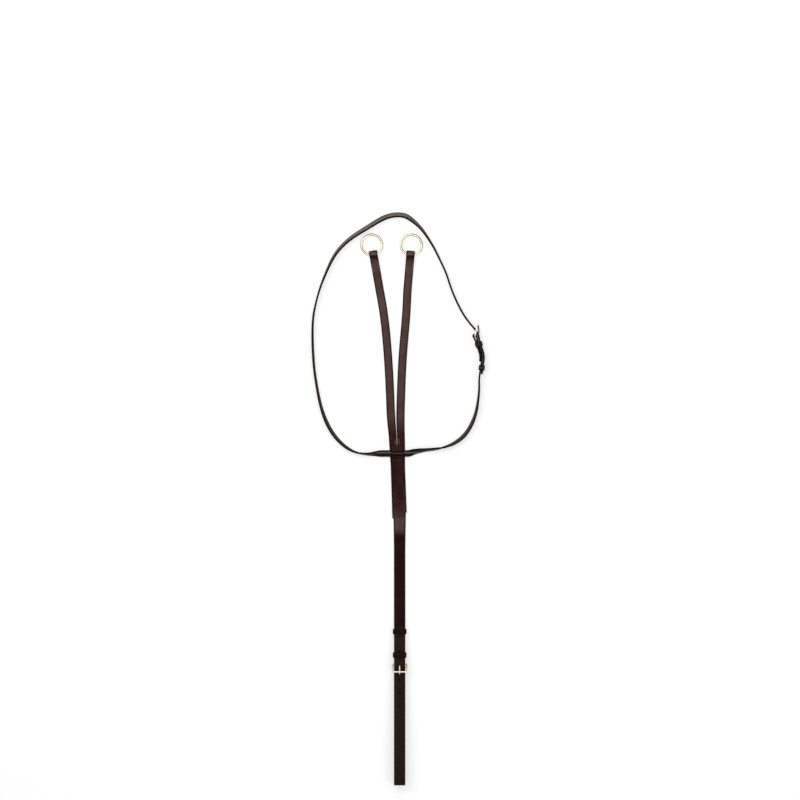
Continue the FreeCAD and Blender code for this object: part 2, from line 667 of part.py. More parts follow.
def neck_stations():
    """The whole strap, from the end of its turnback once round to the billet's tip."""
    bend_steps = 4
    behind = [NECK_BEND_START + NECK_BEND_LENGTH * i / bend_steps for i in range(bend_steps + 1)]
    stations = [neck_layer(at, carrier_offset()) for at in behind + [NECK_STRAIGHT_TO - 20]]
    start, along = neck_base(NECK_STRAIGHT_TO)
    start = start + outward(along) * carrier_offset()
    right = [(start.x, start.y, 0, EDGE_LIFT)] + ROUTE_BUCKLE_TO_CROSSING
    right += [(CROSSING_STRAIGHT, 0, 90, NECK_ON_FORK)]
    stations += route_stations(right, along, V(-1, 0, 0))
    over = NECK_FOLD_RADIUS + LAYER_GAP + NECK_THICK / 2
    rise = billet_rise(NECK_UNDER_RAIL, over, billet_offset())
    (rail_at, rail_up), (next_at, next_up) = rise[0], rise[1]
    climb = math.atan2(next_up - rail_up, next_at - rail_at)
    arrive = heading_vector(NECK_BUCKLE_HEADING + climb)
    point, along = neck_base(rail_at)
    point = point + outward(along) * rail_up
    left = [(-CROSSING_STRAIGHT, 0, 90, NECK_ON_FORK)] + ROUTE_CROSSING_TO_BUCKLE
    left += [(point.x, point.y, 0, EDGE_LIFT)]
    stations += route_stations(left, V(-1, 0, 0), arrive)
    stations += [neck_layer(at, up) for at, up in rise[1:]]
    tail = [at for at in behind if at < BILLET_TAIL - TIP_LENGTH]
    stations += [neck_layer(at, billet_offset()) for at in tail]
    for share, width in ((0, 1.0), (0.55, 0.72), (0.9, 0.32), (1.0, 0.14)):
        at = BILLET_TAIL - TIP_LENGTH * (1 - share)
        stations.append(neck_layer(at, billet_offset(), NECK_WIDTH * width))
    return stations


def ribbon(stations, thickness):
    """Solid strap through rectangular sections."""
    wires = []
    for middle, normal, edge, width in stations:
        half_edge = edge * (width / 2)
        half_thick = normal * (thickness / 2)
        corners = [middle - half_edge - half_thick, middle + half_edge - half_thick,
                   middle + half_edge + half_thick, middle - half_edge + half_thick]
        wires.append(Part.makePolygon(corners + [corners[0]]))
    return Part.makeLoft(wires, True, True)


def neck_turnback():
    """Sewn-down end of the strap on the inner side, beyond the straight fold."""
    bend_end = NECK_BEND_START + NECK_BEND_LENGTH
    places = [NECK_BEND_START + (bend_end - NECK_BEND_START) * i / 4 for i in range(5)]
    stations = [neck_layer(at, -NECK_FOLD_THICK / 2) for at in places + [NECK_TURNBACK]]
    return ribbon(stations, NECK_FOLD_THICK)


def neck_axes(at=0.0):
    """Placement of local buckle axes at a distance behind the neck buckle's bar."""
    point, along = neck_base(at)
    origin = V(point.x, point.y, EDGE_LIFT + NECK_WIDTH / 2)
    return axes_placement(origin, along, outward(along))


def neck_strap():
    fold = buckle_fold(NECK_WIDTH, NECK_FOLD_RADIUS, NECK_BEND_START, -NECK_FOLD_THICK,
                       NECK_FOLD_THICK, -NECK_FOLD_THICK)
    strap = fused([placed(fold, neck_axes()), neck_turnback(), ribbon(neck_stations(), NECK_THICK)])
    strap = strap.cut(placed(tongue_hole(), neck_axes()))
    for i in range(SPARE_HOLES):
        hole = rod(V(0, billet_offset() - NECK_THICK * 0.6, 0),
                   V(0, billet_offset() + NECK_THICK, 0), HOLE_RADIUS)
        strap = strap.cut(placed(hole, neck_axes(HOLE_PITCH * (i + 1) + 1)))
    return strap.Solids[0]


def neck_buckle_stitching():
    """Two rows along the turnback's inner face, from behind the fixed keeper to its end."""
    reach = NECK_WIDTH / 2 - STITCH_INSET
    first = FIXED_KEEPER_AT + KEEPER_WIDTH / 2 + STITCH_LENGTH
    last = NECK_TURNBACK - STITCH_INSET
    count = int((last - first) / STITCH_PITCH)
    stitches = []
    for i in range(count + 1):
        at = first + (last - first) * i / count
        for side in (-1, 1):
            flat = stitch(V(0, -NECK_FOLD_THICK - BEND_FLATS, side * reach), V(1, 0, 0),
                          V(0, -1, 0))
            stitches.append(placed(flat, neck_axes(at)))
    return Part.makeCompound(stitches)


# ---------------------------------------------------------------- girth strap

GIRTH_LIFT = KEEPER_THICK + KEEPER_PLAY      # keepers pass under the strap
CHAPE_LIE = 2 * CHAPE_THICK - CHAPE_RADIUS     # outer face of the chape above the bar


def girth_axes(at=0.0):
    origin = V(GIRTH_X, GIRTH_BUCKLE_Y + at, GIRTH_LIFT + GIRTH_THICK + CHAPE_RADIUS)
    return axes_placement(origin, V(0, 1, 0), V(0, 0, 1))


def thick_line(points, thickness):
    """Closed outline of a bent strip about its middle line, with mitred corners."""
    upper, lower = [], []
    for i, point in enumerate(points):
        before = V(point - points[i - 1]) if i else V(points[1] - point)
        after = V(points[i + 1] - point) if i + 1 < len(points) else V(point - points[i - 1])
        before.normalize()
        after.normalize()
        normal = V(0, -before.z - after.z, before.y + after.y).normalize()
        reach = thickness / 2 / normal.dot(V(0, -after.z, after.y))
        upper.append(point + normal * reach)
        lower.append(point - normal * reach)
    return upper + lower[::-1]


def across(points, width):
    """Strip outline in the YZ plane, extruded across the girth strap."""
    return face_of([p + V(GIRTH_X - width / 2, 0, 0) for p in points]).extrude(V(width, 0, 0))


def girth_billet_lie():
    return CHAPE_LIE + LAYER_GAP + GIRTH_THICK / 2


def girth_return():
    """Middle line of the strap's end, back from the end turn to the billet's tip."""
    bar = girth_axes().Base
    turn_y = GIRTH_BUCKLE_Y - GIRTH_LOOP_LENGTH
    turn_z = 1.5 * GIRTH_THICK + 2 * GIRTH_TURN_RADIUS
    over = CHAPE_RADIUS + LAYER_GAP + GIRTH_THICK / 2
    rise = billet_rise(GIRTH_UNDER_RAIL, over, girth_billet_lie())
    rail_z = bar.z + GIRTH_UNDER_RAIL
    drop = turn_z - rail_z
    span = GIRTH_LOOP_LENGTH + front_rail()[0]
    slope = [V(0, turn_y + span * share, turn_z - drop * fall)
             for share, fall in ((0, 0), (0.2, 0.10), (0.45, 0.38), (0.7, 0.72), (0.9, 0.95))]
    over_strap = GIRTH_LIFT + 1.5 * GIRTH_THICK + LAYER_GAP
    tail = [V(0, bar.y + CHAPE_LENGTH + 1, bar.z + girth_billet_lie()),
            V(0, bar.y + CHAPE_LENGTH + 10, over_strap),
            V(0, bar.y + BILLET_TAIL, over_strap)]
    return slope + [V(0, bar.y + at, bar.z + up) for at, up in rise] + tail


def girth_run():
    """Middle line of the strap from the end turn up to the splice."""
    turn_y = GIRTH_BUCKLE_Y - GIRTH_LOOP_LENGTH
    mid = GIRTH_THICK / 2
    up = mid + GIRTH_LIFT
    first = GIRTH_BUCKLE_Y + front_rail()[0]
    last = GIRTH_BUCKLE_Y + RUNNING_KEEPER_AT + KEEPER_WIDTH
    ramp = first - GIRTH_LEVEL_BEFORE
    return [V(0, turn_y, mid), V(0, ramp - GIRTH_RAMP_FRONT, mid), V(0, ramp, up), V(0, last, up),
            V(0, last + GIRTH_RAMP_BACK, mid), V(0, FORK_END_Y, mid)]


def girth_end_turn():
    inner = GIRTH_TURN_RADIUS
    outer = inner + GIRTH_THICK
    centre = V(0, GIRTH_BUCKLE_Y - GIRTH_LOOP_LENGTH, outer)
    back = V(0, -1, 0)
    up = V(0, 0, 1)
    edges = [Part.Arc(centre - up * outer, centre + back * outer, centre + up * outer),
             Part.LineSegment(centre + up * outer, centre + up * inner),
             Part.Arc(centre + up * inner, centre + back * inner, centre - up * inner),
             Part.LineSegment(centre - up * inner, centre - up * outer)]
    face = Part.Face(Part.Wire([edge.toShape() for edge in edges]))
    face.translate(V(GIRTH_X - GIRTH_WIDTH / 2, 0, 0))
    return face.extrude(V(GIRTH_WIDTH, 0, 0))


def girth_top():
    """Upper end: a little wider, and skived away under the fork."""
    splice_top = FORK_END_Y + SPLICE_LENGTH
    wide = GIRTH_TOP_WIDTH / 2
    narrow = GIRTH_WIDTH / 2
    ease_y = (FORK_END_Y + GIRTH_NECKING_Y) / 2
    outline = [V(GIRTH_X - narrow, GIRTH_NECKING_Y), V(GIRTH_X + narrow, GIRTH_NECKING_Y),
               V(GIRTH_X + (wide + narrow) / 2 - 0.2, ease_y), V(GIRTH_X + wide, FORK_END_Y),
               V(GIRTH_X + narrow, splice_top), V(GIRTH_X - narrow, splice_top),
               V(GIRTH_X - wide, FORK_END_Y), V(GIRTH_X - (wide + narrow) / 2 + 0.2, ease_y)]
    profile = [V(0, GIRTH_NECKING_Y, 0), V(0, splice_top, 0), V(0, splice_top, SPLICE_TIP_THICK),
               V(0, FORK_END_Y, GIRTH_THICK), V(0, GIRTH_NECKING_Y, GIRTH_THICK)]
    side = across(profile, 2 * GIRTH_TOP_WIDTH)
    return plan_prism(outline, -1, 2 * GIRTH_THICK).common(side).Solids[0]


def billet_point():
    """Outline that trims the billet's end to a point."""
    tip = GIRTH_BUCKLE_Y + BILLET_TAIL
    half = GIRTH_WIDTH / 2
    shares = [(1.0, 1.0), (0.45, 0.72), (0.1, 0.32), (0.0, 0.14)]
    right = [V(GIRTH_X + half * wide, tip - TIP_LENGTH * back) for back, wide in shares]
    left = [V(GIRTH_X - half * wide, tip - TIP_LENGTH * back) for back, wide in shares]
    start = GIRTH_BUCKLE_Y - 2 * GIRTH_LOOP_LENGTH
    return [V(GIRTH_X - half, start), V(GIRTH_X + half, start)] + right + left[::-1]


def girth_strap():
    run = girth_run()
    run[-1] = V(0, GIRTH_NECKING_Y, run[-1].z)
    billet = across(thick_line(girth_return(), GIRTH_THICK), GIRTH_WIDTH)
    high = 4 * (GIRTH_TURN_RADIUS + GIRTH_THICK)
    billet = billet.common(plan_prism(billet_point(), 0, high)).Solids[0]
    billet = billet.cut(placed(tongue_hole(), girth_axes()))
    for i in list(range(-LOOP_HOLES, 0)) + list(range(1, SPARE_HOLES + 1)):
        shift = GIRTH_SPARE_SHIFT if i < 0 else 0
        spot = V(GIRTH_X, GIRTH_BUCKLE_Y + HOLE_PITCH * i - shift)
        billet = billet.cut(rod(spot, spot + V(0, 0, high), HOLE_RADIUS))
    return fused([across(thick_line(run, GIRTH_THICK), GIRTH_WIDTH), girth_top(),
                  girth_end_turn(), billet])


def girth_chape():
    chape = buckle_fold(GIRTH_WIDTH, CHAPE_RADIUS, CHAPE_LENGTH, -CHAPE_RADIUS, CHAPE_LIE,
                        -CHAPE_RADIUS)
    return placed(chape, girth_axes())


def girth_chape_stitching():
    """Rows on the chape's upper face, on both sides of the billet's middle."""
    reach = GIRTH_WIDTH / 2 - STITCH_INSET
    first = FIXED_KEEPER_AT + KEEPER_WIDTH / 2 + 1
    rows = []
    for side in (-1, 1):
        rows += stitch_row(V(first, CHAPE_LIE, side * reach),
                           V(CHAPE_LENGTH - 1.5, CHAPE_LIE, side * reach), V(0, 1, 0))
    return placed(Part.makeCompound(rows), girth_axes())


# ---------------------------------------------------------------- keepers in place

def neck_keepers():
    outer = billet_offset() + NECK_THICK / 2 + KEEPER_PLAY
    fixed = keeper(NECK_WIDTH, -NECK_FOLD_THICK, outer)
    running = keeper(NECK_WIDTH, NECK_FOLD_THICK - NECK_THICK - KEEPER_PLAY, outer)
    return placed(fixed, neck_axes(FIXED_KEEPER_AT)), placed(running, neck_axes(RUNNING_KEEPER_AT))


def girth_keepers():
    floor = -CHAPE_RADIUS - GIRTH_THICK
    over_chape = girth_billet_lie() + GIRTH_THICK / 2 + KEEPER_PLAY
    over_strap = -CHAPE_RADIUS + LAYER_GAP + GIRTH_THICK + KEEPER_PLAY
    fixed = keeper(GIRTH_WIDTH, floor, over_chape)
    running = keeper(GIRTH_WIDTH, floor - KEEPER_PLAY, over_strap)
    return placed(fixed, girth_axes(FIXED_KEEPER_AT)), placed(running, girth_axes(RUNNING_KEEPER_AT))


def all_parts():
    neck_fixed, neck_running = neck_keepers()
    girth_fixed, girth_running = girth_keepers()
    return {
        "fork_strap": fork_strap(),
        "slit_stitching": slit_stitching(),
        "left_ring": ring(LEFT_RING_CENTRE, LEFT_LEAN),
        "right_ring": ring(RIGHT_RING_CENTRE, RIGHT_LEAN),
        "left_ring_stitching": ring_stitching(LEFT_RING_CENTRE, LEFT_LEAN),
        "right_ring_stitching": ring_stitching(RIGHT_RING_CENTRE, RIGHT_LEAN),
        "neck_loop": neck_loop(),
        "neck_loop_stitching": neck_loop_stitching(),
        "neck_strap": neck_strap(),
        "neck_buckle_frame": placed(buckle_frame(NECK_WIDTH), neck_axes()),
        "neck_buckle_tongue": placed(buckle_tongue(), neck_axes()),
        "neck_buckle_stitching": neck_buckle_stitching(),
        "neck_fixed_keeper": neck_fixed,
        "neck_running_keeper": neck_running,
        "girth_strap": girth_strap(),
        "splice_stitching": splice_stitching(),
        "girth_chape": girth_chape(),
        "girth_chape_stitching": girth_chape_stitching(),
        "girth_buckle_frame": placed(buckle_frame(GIRTH_WIDTH), girth_axes()),
        "girth_buckle_tongue": placed(buckle_tongue(), girth_axes()),
        "girth_fixed_keeper": girth_fixed,
        "girth_running_keeper": girth_running,
    }


def main():
    os.makedirs("parts", exist_ok=True)
    for name, shape in all_parts().items():
        shape.exportStep("parts/" + name + ".step")
        print("%-24s solids %3d  volume %9.1f mm3" % (name, len(shape.Solids), shape.Volume))


main()
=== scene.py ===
"""Looks of a leather running martingale laid flat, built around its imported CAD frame.

Metres in Blender. Sizes below are millimetres, turned into metres by MM. The straps are swept
sections: a rounded, creased leather profile carried along the same lines as the CAD solids.
"""
import json
import math

import bmesh
import bpy
import numpy as np
from mathutils import Matrix, Vector


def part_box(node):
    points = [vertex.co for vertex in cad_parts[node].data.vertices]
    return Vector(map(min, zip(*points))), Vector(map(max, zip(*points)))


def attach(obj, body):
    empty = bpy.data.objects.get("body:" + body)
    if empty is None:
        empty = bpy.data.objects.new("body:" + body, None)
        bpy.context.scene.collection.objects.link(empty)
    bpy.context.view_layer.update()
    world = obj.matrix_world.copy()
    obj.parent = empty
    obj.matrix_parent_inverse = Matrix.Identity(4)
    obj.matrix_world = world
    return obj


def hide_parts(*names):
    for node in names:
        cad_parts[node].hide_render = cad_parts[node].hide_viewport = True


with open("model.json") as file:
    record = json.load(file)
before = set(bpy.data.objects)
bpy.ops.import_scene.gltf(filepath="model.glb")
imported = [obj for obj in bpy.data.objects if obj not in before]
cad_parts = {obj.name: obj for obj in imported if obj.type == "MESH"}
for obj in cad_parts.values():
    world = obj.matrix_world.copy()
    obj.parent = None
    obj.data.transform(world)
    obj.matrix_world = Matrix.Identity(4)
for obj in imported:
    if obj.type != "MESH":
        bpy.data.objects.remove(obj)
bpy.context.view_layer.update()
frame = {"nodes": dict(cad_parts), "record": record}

MM = 0.001
UP = Vector((0, 0, 1))
FORWARD = Vector((0, 1, 0))  # toward the rings
LEFTWARD = Vector((-1, 0, 0))

# Fork strap
FORK_THICK = 3.4
FORK_WIDTH = 30.2
FORK_WAIST_WIDTH = 27.2
FORK_WAIST_Y = -24.0
FORK_END_WIDTH = 27.8
FORK_END_Y = -118.0
FORK_END_THICK = 1.2
FORK_END_SLANT = 5.7
SPLICE_TOP = 4.2  # top of the fork's thin end on the girth strap
SPLICE_THICK = 2.6  # the fork's thickness where its skived end begins
BODY_SPANS = 52
SLIT_END_Y = 20.0
SLIT_WIDTH = 0.6
SLIT_ROUND = 0.25  # rounding of the edges where the slit begins
FORK_LEAN = math.radians(1.95)
BRANCH_WIDTH = 15.9
LEFT_BRANCH = [(-12.1, 68), (-13.6, 102), (-18.6, 193), (-28.9, 284)]
RIGHT_BRANCH = [(5.8, 68), (6.5, 102), (10.7, 193), (17.8, 284)]
FULL_WIDTH_Y = 68.0
LEFT_LEAN = math.radians(10.0)
RIGHT_LEAN = math.radians(-4.8)

# Rings and their folds
RING_RADIUS = 19.75
RING_WIRE_RADIUS = 2.25
RING_BORE = 3.44
RING_SLACK = 2.0
FOLD_THICK = 2.8
TURNBACK_THICK = 2.2
TURNBACK_LENGTH = 42.0
BRANCH_END_LENGTH = 62.0
FOLD_SPANS = 84

# Girth strap
GIRTH_WIDTH = 21.6
GIRTH_TOP_WIDTH = 23.4
GIRTH_THICK = 3.0
GIRTH_X = 4.2
GIRTH_LIFT = 2.2
GIRTH_TURN_RADIUS = 8.0
GIRTH_LOOP_LENGTH = 219.0
SPLICE_LENGTH = 58.0
CHAPE_THICK = 2.0
CHAPE_LENGTH = 42.0

# Neck strap
NECK_WIDTH = 12.7
NECK_THICK = 3.4
NECK_FOLD_THICK = 3.2
NECK_ON_FORK = 3.7
CROSSING_STRAIGHT = 19.0
NECK_HEADING = math.radians(18.5)
NECK_TURNBACK = 51.0
NECK_BEND_START = 32.0
NECK_BEND = math.radians(26.5)
NECK_BEND_LENGTH = 16.0
NECK_STRAIGHT_TO = 80.0
LOOP_THICK = 2.0
EDGE_LIFT = 4.2
LAYER_GAP = 0.3

# Buckles and keepers
BAR_RADIUS = 1.4
BORE_RADIUS = 1.5
FRAME_RADIUS = 1.5
FRAME_LENGTH = 17.0
FRAME_CORNER = 4.0
FRAME_SIDE_GAP = 1.0
FRAME_TILT = math.radians(32.0)
NECK_UNDER_RAIL = 3.0  # middle of the billet above the bar, where it is under the rail
GIRTH_UNDER_RAIL = 2.5
TONGUE_RADIUS = 1.2
TONGUE_SLOT = 6.4
EYE_RADIUS = 2.3
EYE_WIRE_RADIUS = 0.6
EYE_WIRES = (-1.7, -0.6, 0.6, 1.7)
BILLET_TAIL = 74.0
TIP_LENGTH = 11.0
TIP_BLUNT = 0.012  # squared share of the width left at the very point
HOLE_RADIUS = 2.0
HOLE_PITCH = 24.0
KEEPER_WIDTH = 10.0
KEEPER_THICK = 1.8
KEEPER_PLAY = 0.4
KEEPER_BEND = 1.5
FIXED_KEEPER_AT = 17.5
RUNNING_KEEPER_AT = 62.0

# What follows from them
RAIL_BACK = FRAME_LENGTH * math.cos(FRAME_TILT)
CHAPE_RADIUS = BORE_RADIUS + CHAPE_THICK
CARRIER_OFFSET = NECK_FOLD_THICK - NECK_THICK / 2
BILLET_OFFSET = NECK_FOLD_THICK + LAYER_GAP + NECK_THICK / 2
GIRTH_LIE = GIRTH_LIFT + 1.5 * GIRTH_THICK + LAYER_GAP  # billet's middle on the girth
NECK_BEND_AT = [NECK_BEND_START + NECK_BEND_LENGTH * i / 8 for i in range(1, 9)]
FORK_ALONG = Vector((-math.sin(FORK_LEAN), math.cos(FORK_LEAN), 0))
FORK_ACROSS = Vector((math.cos(FORK_LEAN), math.sin(FORK_LEAN), 0))

# Leather profile
EDGE_ROUND = 0.95
CREASE_INSET = 2.1
DYED_SHADED_EDGE = 0.5  # an edge rounded by more than this share has its border dyed dark, which is also painted shade along the edge
CREASE_HALF = 0.5
CREASE_DEPTH = 0.24
CROWN = 0.12
STEP = 2.6  # length of one span of a swept strap

GRAIN, EDGE, FLESH = 0, 1, 2

DARK_STITCHING = ("splice_stitching", "neck_loop_stitching", "neck_buckle_stitching")
STITCH_SIZE = (2.9, 0.85, 0.55)

# Stage, in metres
CAMERA_PLACE = (0.00485, 0.10165, 12.0)
CAMERA_VIEW_WIDTH = 1.52
FLOOR_TONE = 0.62
FLOOR_GLOW = 0.56
WORLD_LIGHT = 0.55

# Painted sheen, highlights and shade laid over the dye: their strength along the straps, in metres from
# the crossing
WHOLE_REACH = 0.40
CROSSING_REACH = 0.010
# Painted highlight around the fork's lower end, painted sheen on the branches, and a painted highlight
# just below each fold's top
FORK_PAINTED_SHEEN = [(-0.157, 0), (-0.146, 0.45), (-0.125, 0.68), (-0.118, 0.32), (-0.105, 0.1),
              (-0.09, 0), (0.035, 0), (0.07, 0.44), (0.3, 0.46), (0.366, 0.4), (0.3705, 0.1),
              (0.3725, 0), (0.3748, 0), (0.3765, 0.85), (0.381, 0.85), (0.3825, 0.05)]
# Painted shade in the crease below each fold's bulge, and over the fold's top
FOLD_SHADE = [(0.3705, 0), (0.373, 0.85), (0.3748, 0.85), (0.3762, 0), (0.3812, 0), (0.383, 1)]
# Painted highlight along the crest of the neck loop, and painted shade on its slopes either side
LOOP_PAINTED_HIGHLIGHT = [(-0.0004, 0), (0.0001, 0.8), (0.0007, 0.8), (0.0012, 0)]
LOOP_SHADE = [(-0.0056, 0), (-0.0042, 1), (-0.0014, 1), (-0.0006, 0),
              (0.0014, 0), (0.0022, 1), (0.0042, 1), (0.0056, 0)]
# Painted highlight along the middle of the neck strap near the crossing, with painted shade either side
NECK_PAINTED_HIGHLIGHT = [(0.0003, 0), (0.001, 0.8), (0.0022, 0.8), (0.003, 0)]
NECK_SHADE = [(-0.0045, 0), (-0.0036, 0.9), (-0.0012, 0.9), (0.0002, 0),
              (0.003, 0), (0.0038, 0.9), (0.006, 0.9), (0.0072, 0)]
# Painted sheen on the top of the neck strap's round, and a weaker painted sheen along its sides lower down
NECK_PAINTED_SHEEN = [(0.02, 0), (0.05, 0.22), (0.13, 0.22), (0.18, 0), (0.3, 0), (0.398, 0.5)]
FORK_PAINTED_LIGHT = [(FORK_PAINTED_SHEEN, (0.145, 0.088, 0.076), WHOLE_REACH),
              (FOLD_SHADE, (0.01, 0.0016, 0.0012), WHOLE_REACH)]
LOOP_PAINTED_LIGHT = [(LOOP_SHADE, (0.003, 0.0012, 0.001), CROSSING_REACH),
              (LOOP_PAINTED_HIGHLIGHT, (0.13, 0.105, 0.1), CROSSING_REACH)]
NECK_PAINTED_LIGHT = [(NECK_PAINTED_SHEEN, (0.17, 0.155, 0.13), WHOLE_REACH),
              (NECK_SHADE, (0.004, 0.003, 0.002), CROSSING_REACH),
              (NECK_PAINTED_HIGHLIGHT, (0.19, 0.17, 0.145), CROSSING_REACH)]


# ---------------- materials

class Nodes:
    """A node tree whose nodes are added together with what goes into them."""

    def __init__(self, owner):
        owner.use_nodes = True
        self.tree = owner.node_tree
        self.tree.nodes.clear()

    def feed(self, socket, value):
        """An input takes a plain value or another node's output."""
        if isinstance(value, bpy.types.NodeSocket):
            self.tree.links.new(value, socket)
        else:
            socket.default_value = value

    def add(self, kind, inputs, **settings):
        node = self.tree.nodes.new(kind)
        for name, value in settings.items():
            setattr(node, name, value)
        for socket, value in inputs.items():
            self.feed(node.inputs[socket], value)
        return node

    def math(self, operation, first, second=0.5):
        return self.add("ShaderNodeMath", {0: first, 1: second}, operation=operation).outputs[0]

    def background_rays(self):
        """1 for rays that show the background: to the camera, in a reflection or through glass."""
        path = self.add("ShaderNodeLightPath", {}).outputs
        mirrored = self.math("MAXIMUM", path["Is Camera Ray"], path["Is Glossy Ray"])
        return self.math("MAXIMUM", mirrored, path["Is Transmission Ray"])


class Look(Nodes):
    """A material with one principled shader, patterned by the piece's own coordinates."""

    def __init__(self, name):
        self.material = bpy.data.materials.new(name)
        super().__init__(self.material)
        self.shader = self.add("ShaderNodeBsdfPrincipled", {})
        self.add("ShaderNodeOutputMaterial", {"Surface": self.shader.outputs["BSDF"]})
        self.coordinates = self.add("ShaderNodeTexCoord", {}).outputs
        self.place = self.coordinates["Object"]

    def noise(self, scale, detail, roughness=0.55):
        inputs = {"Vector": self.place, "Scale": scale, "Detail": detail, "Roughness": roughness}
        return self.add("ShaderNodeTexNoise", inputs).outputs["Fac"]

    def ramp(self, source, stops):
        """Colour ramp from (position, colour) stops."""
        node = self.add("ShaderNodeValToRGB", {"Fac": source})
        elements = node.color_ramp.elements
        while len(elements) < len(stops):
            elements.new(0.5)
        for element, (position, colour) in zip(elements, stops):
            element.position = position
            element.color = (*colour, 1)
        return node.outputs["Color"]

    def spread(self, source, low, high, start=0.3, end=0.7):
        """Spreads start to end, by default a noise's usual range, over low to high."""
        inputs = {"Value": source, "From Min": start, "From Max": end, "To Min": low, "To Max": high}
        return self.add("ShaderNodeMapRange", inputs).outputs["Result"]

    def mix(self, factor, first, second, blend="MIX"):
        inputs = {"Factor": factor, 6: first, 7: second}
        return self.add("ShaderNodeMix", inputs, data_type="RGBA", blend_type=blend).outputs[2]

    def tinted(self, colour, strengths, tint, reach):
        """Lays painted light and shade over the dye, more or less of it along the straps."""
        along = self.add("ShaderNodeSeparateXYZ", {"Vector": self.place}).outputs["Y"]
        stops = [((y + reach) / (2 * reach), (strength,) * 3) for y, strength in strengths]
        amount = self.ramp(self.spread(along, 0, 1, -reach, reach), stops)
        patches = self.spread(self.noise(24, 3), 0.6, 1.3)
        return self.mix(self.math("MULTIPLY", amount, patches), colour, (*tint, 1))

    def finish(self, colour, rough, layers, gloss=0.5, metallic=0):
        """Feeds the shader, with bumps from (height, strength, distance in mm) layers."""
        inputs = {"Base Color": colour, "Roughness": rough, "Specular IOR Level": gloss,
                  "Metallic": metallic}
        for height, strength, distance in layers:
            bump = {"Height": height, "Strength": strength, "Distance": distance * MM}
            if "Normal" in inputs:
                bump["Normal"] = inputs["Normal"]
            inputs["Normal"] = self.add("ShaderNodeBump", bump).outputs["Normal"]
        for socket, value in inputs.items():
            self.feed(self.shader.inputs[socket], value)
        return self.material


def leather(name, dark, mid, light, rough, gloss, painted_light):
    """Smooth bridle leather: mottled dye, fine pores, faint stretch marks and a waxed sheen, with painted
    sheen, highlights and shade laid over the dye along the straps.
    """
    look = Look(name)
    colour = look.ramp(look.noise(38, 5), [(0.3, dark), (0.52, mid), (0.74, light)])
    for strengths, tint, reach in painted_light:
        colour = look.tinted(colour, strengths, tint, reach)
    wear = look.spread(look.noise(95, 6), rough - 0.07, rough + 0.1)
    pores = look.add("ShaderNodeTexVoronoi", {"Vector": look.place, "Scale": 1500})
    layers = [(look.noise(60, 2), 0.35, 0.5), (look.noise(900, 3), 0.3, 0.1),
              (pores.outputs["Distance"], 0.22, 0.08)]
    return look.finish(colour, wear, layers, gloss)


def cut_edge(name, dark, light):
    """Dyed and burnished edge: close to smooth, with faint fibre lines along it."""
    look = Look(name)
    streak = look.noise(210, 5)
    colour = look.ramp(streak, [(0.35, dark), (0.7, light)])
    fibres = [(look.noise(700, 4), 0.3, 0.12)]
    return look.finish(colour, look.spread(streak, 0.42, 0.6), fibres, gloss=0.06)


def flesh_side(name, dark, light):
    """Dyed inner side: matt, fibrous nap."""
    look = Look(name)
    nap = look.noise(260, 8, 0.7)
    colour = look.ramp(nap, [(0.32, dark), (0.68, light)])
    fuzz = [(nap, 0.4, 0.25), (look.noise(1100, 5), 0.5, 0.15)]
    return look.finish(colour, look.spread(nap, 0.72, 0.9), fuzz, gloss=0.05)


def brass(name, dark, mid, light, rough):
    """Brass with fine rubbing marks, a little tarnish, and painted shade on the sides of the wire, where
    its surface faces sideways.
    """
    look = Look(name)
    colour = look.ramp(look.noise(70, 5), [(0.28, dark), (0.5, mid), (0.75, light)])
    # Painted shade on the sides of the wire: darker where its surface faces sideways, unchanged where it
    # faces up or down
    facing = look.add("ShaderNodeSeparateXYZ", {"Vector": look.coordinates["Normal"]})
    upward = look.math("ABSOLUTE", facing.outputs["Z"])
    side_shade = look.ramp(upward, [(0.3, (0.3, 0.28, 0.24)), (0.75, (1, 1, 1))])
    rubbing = look.noise(420, 6)
    return look.finish(look.mix(1, colour, side_shade, "MULTIPLY"), look.spread(rubbing, rough, rough + 0.14),
                       [(rubbing, 0.12, 0.05)], metallic=1)


def thread(name, dark, light):
    """Waxed linen thread with a fine twist."""
    look = Look(name)
    twist = look.noise(1300, 3)
    colour = look.ramp(twist, [(0.35, dark), (0.7, light)])
    return look.finish(colour, look.spread(twist, 0.45, 0.65), [(twist, 0.5, 0.12)])


# ---------------- mesh helpers

def finished(bm, name, materials):
    """The object of a finished mesh, its faces turned outwards."""
    bmesh.ops.recalc_face_normals(bm, faces=bm.faces)
    mesh = bpy.data.meshes.new(name)
    bm.to_mesh(mesh)
    bm.free()
    for material in materials:
        mesh.materials.append(material)
    piece = bpy.data.objects.new(name, mesh)
    bpy.context.collection.objects.link(piece)
    return piece


def dress(piece, body, slot, *nodes):
    """Rides a piece on its body, in the place of its CAD nodes."""
    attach(piece, body)
    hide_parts(*nodes)


def arc_points(centre, radius, start, end, count):
    """(across, up) points of a round, angles in degrees from the +across direction."""
    angles = [math.radians(start + (end - start) * i / (count - 1)) for i in range(count)]
    return [(centre[0] + radius * math.cos(a), centre[1] + radius * math.sin(a)) for a in angles]


def circle_points(radius, count):
    return arc_points((0, 0), radius, 0, 360, count + 1)[:-1]


def join_rings(bm, rings, slots=None, closed=False, smooth=True):
    """Faces from each ring of corners to the next; slots holds each ring's face materials."""
    afters = rings[1:] + (rings[:1] if closed else [])
    for k, (before, after) in enumerate(zip(rings, afters)):
        for i in range(len(before)):
            j = (i + 1) % len(before)
            face = bm.faces.new((before[i], before[j], after[j], after[i]))
            face.smooth = smooth
            face.material_index = slots[k][i] if slots else 0


def cap_ends(bm, rings):
    return [bm.faces.new(rings[0][::-1]), bm.faces.new(rings[-1])]


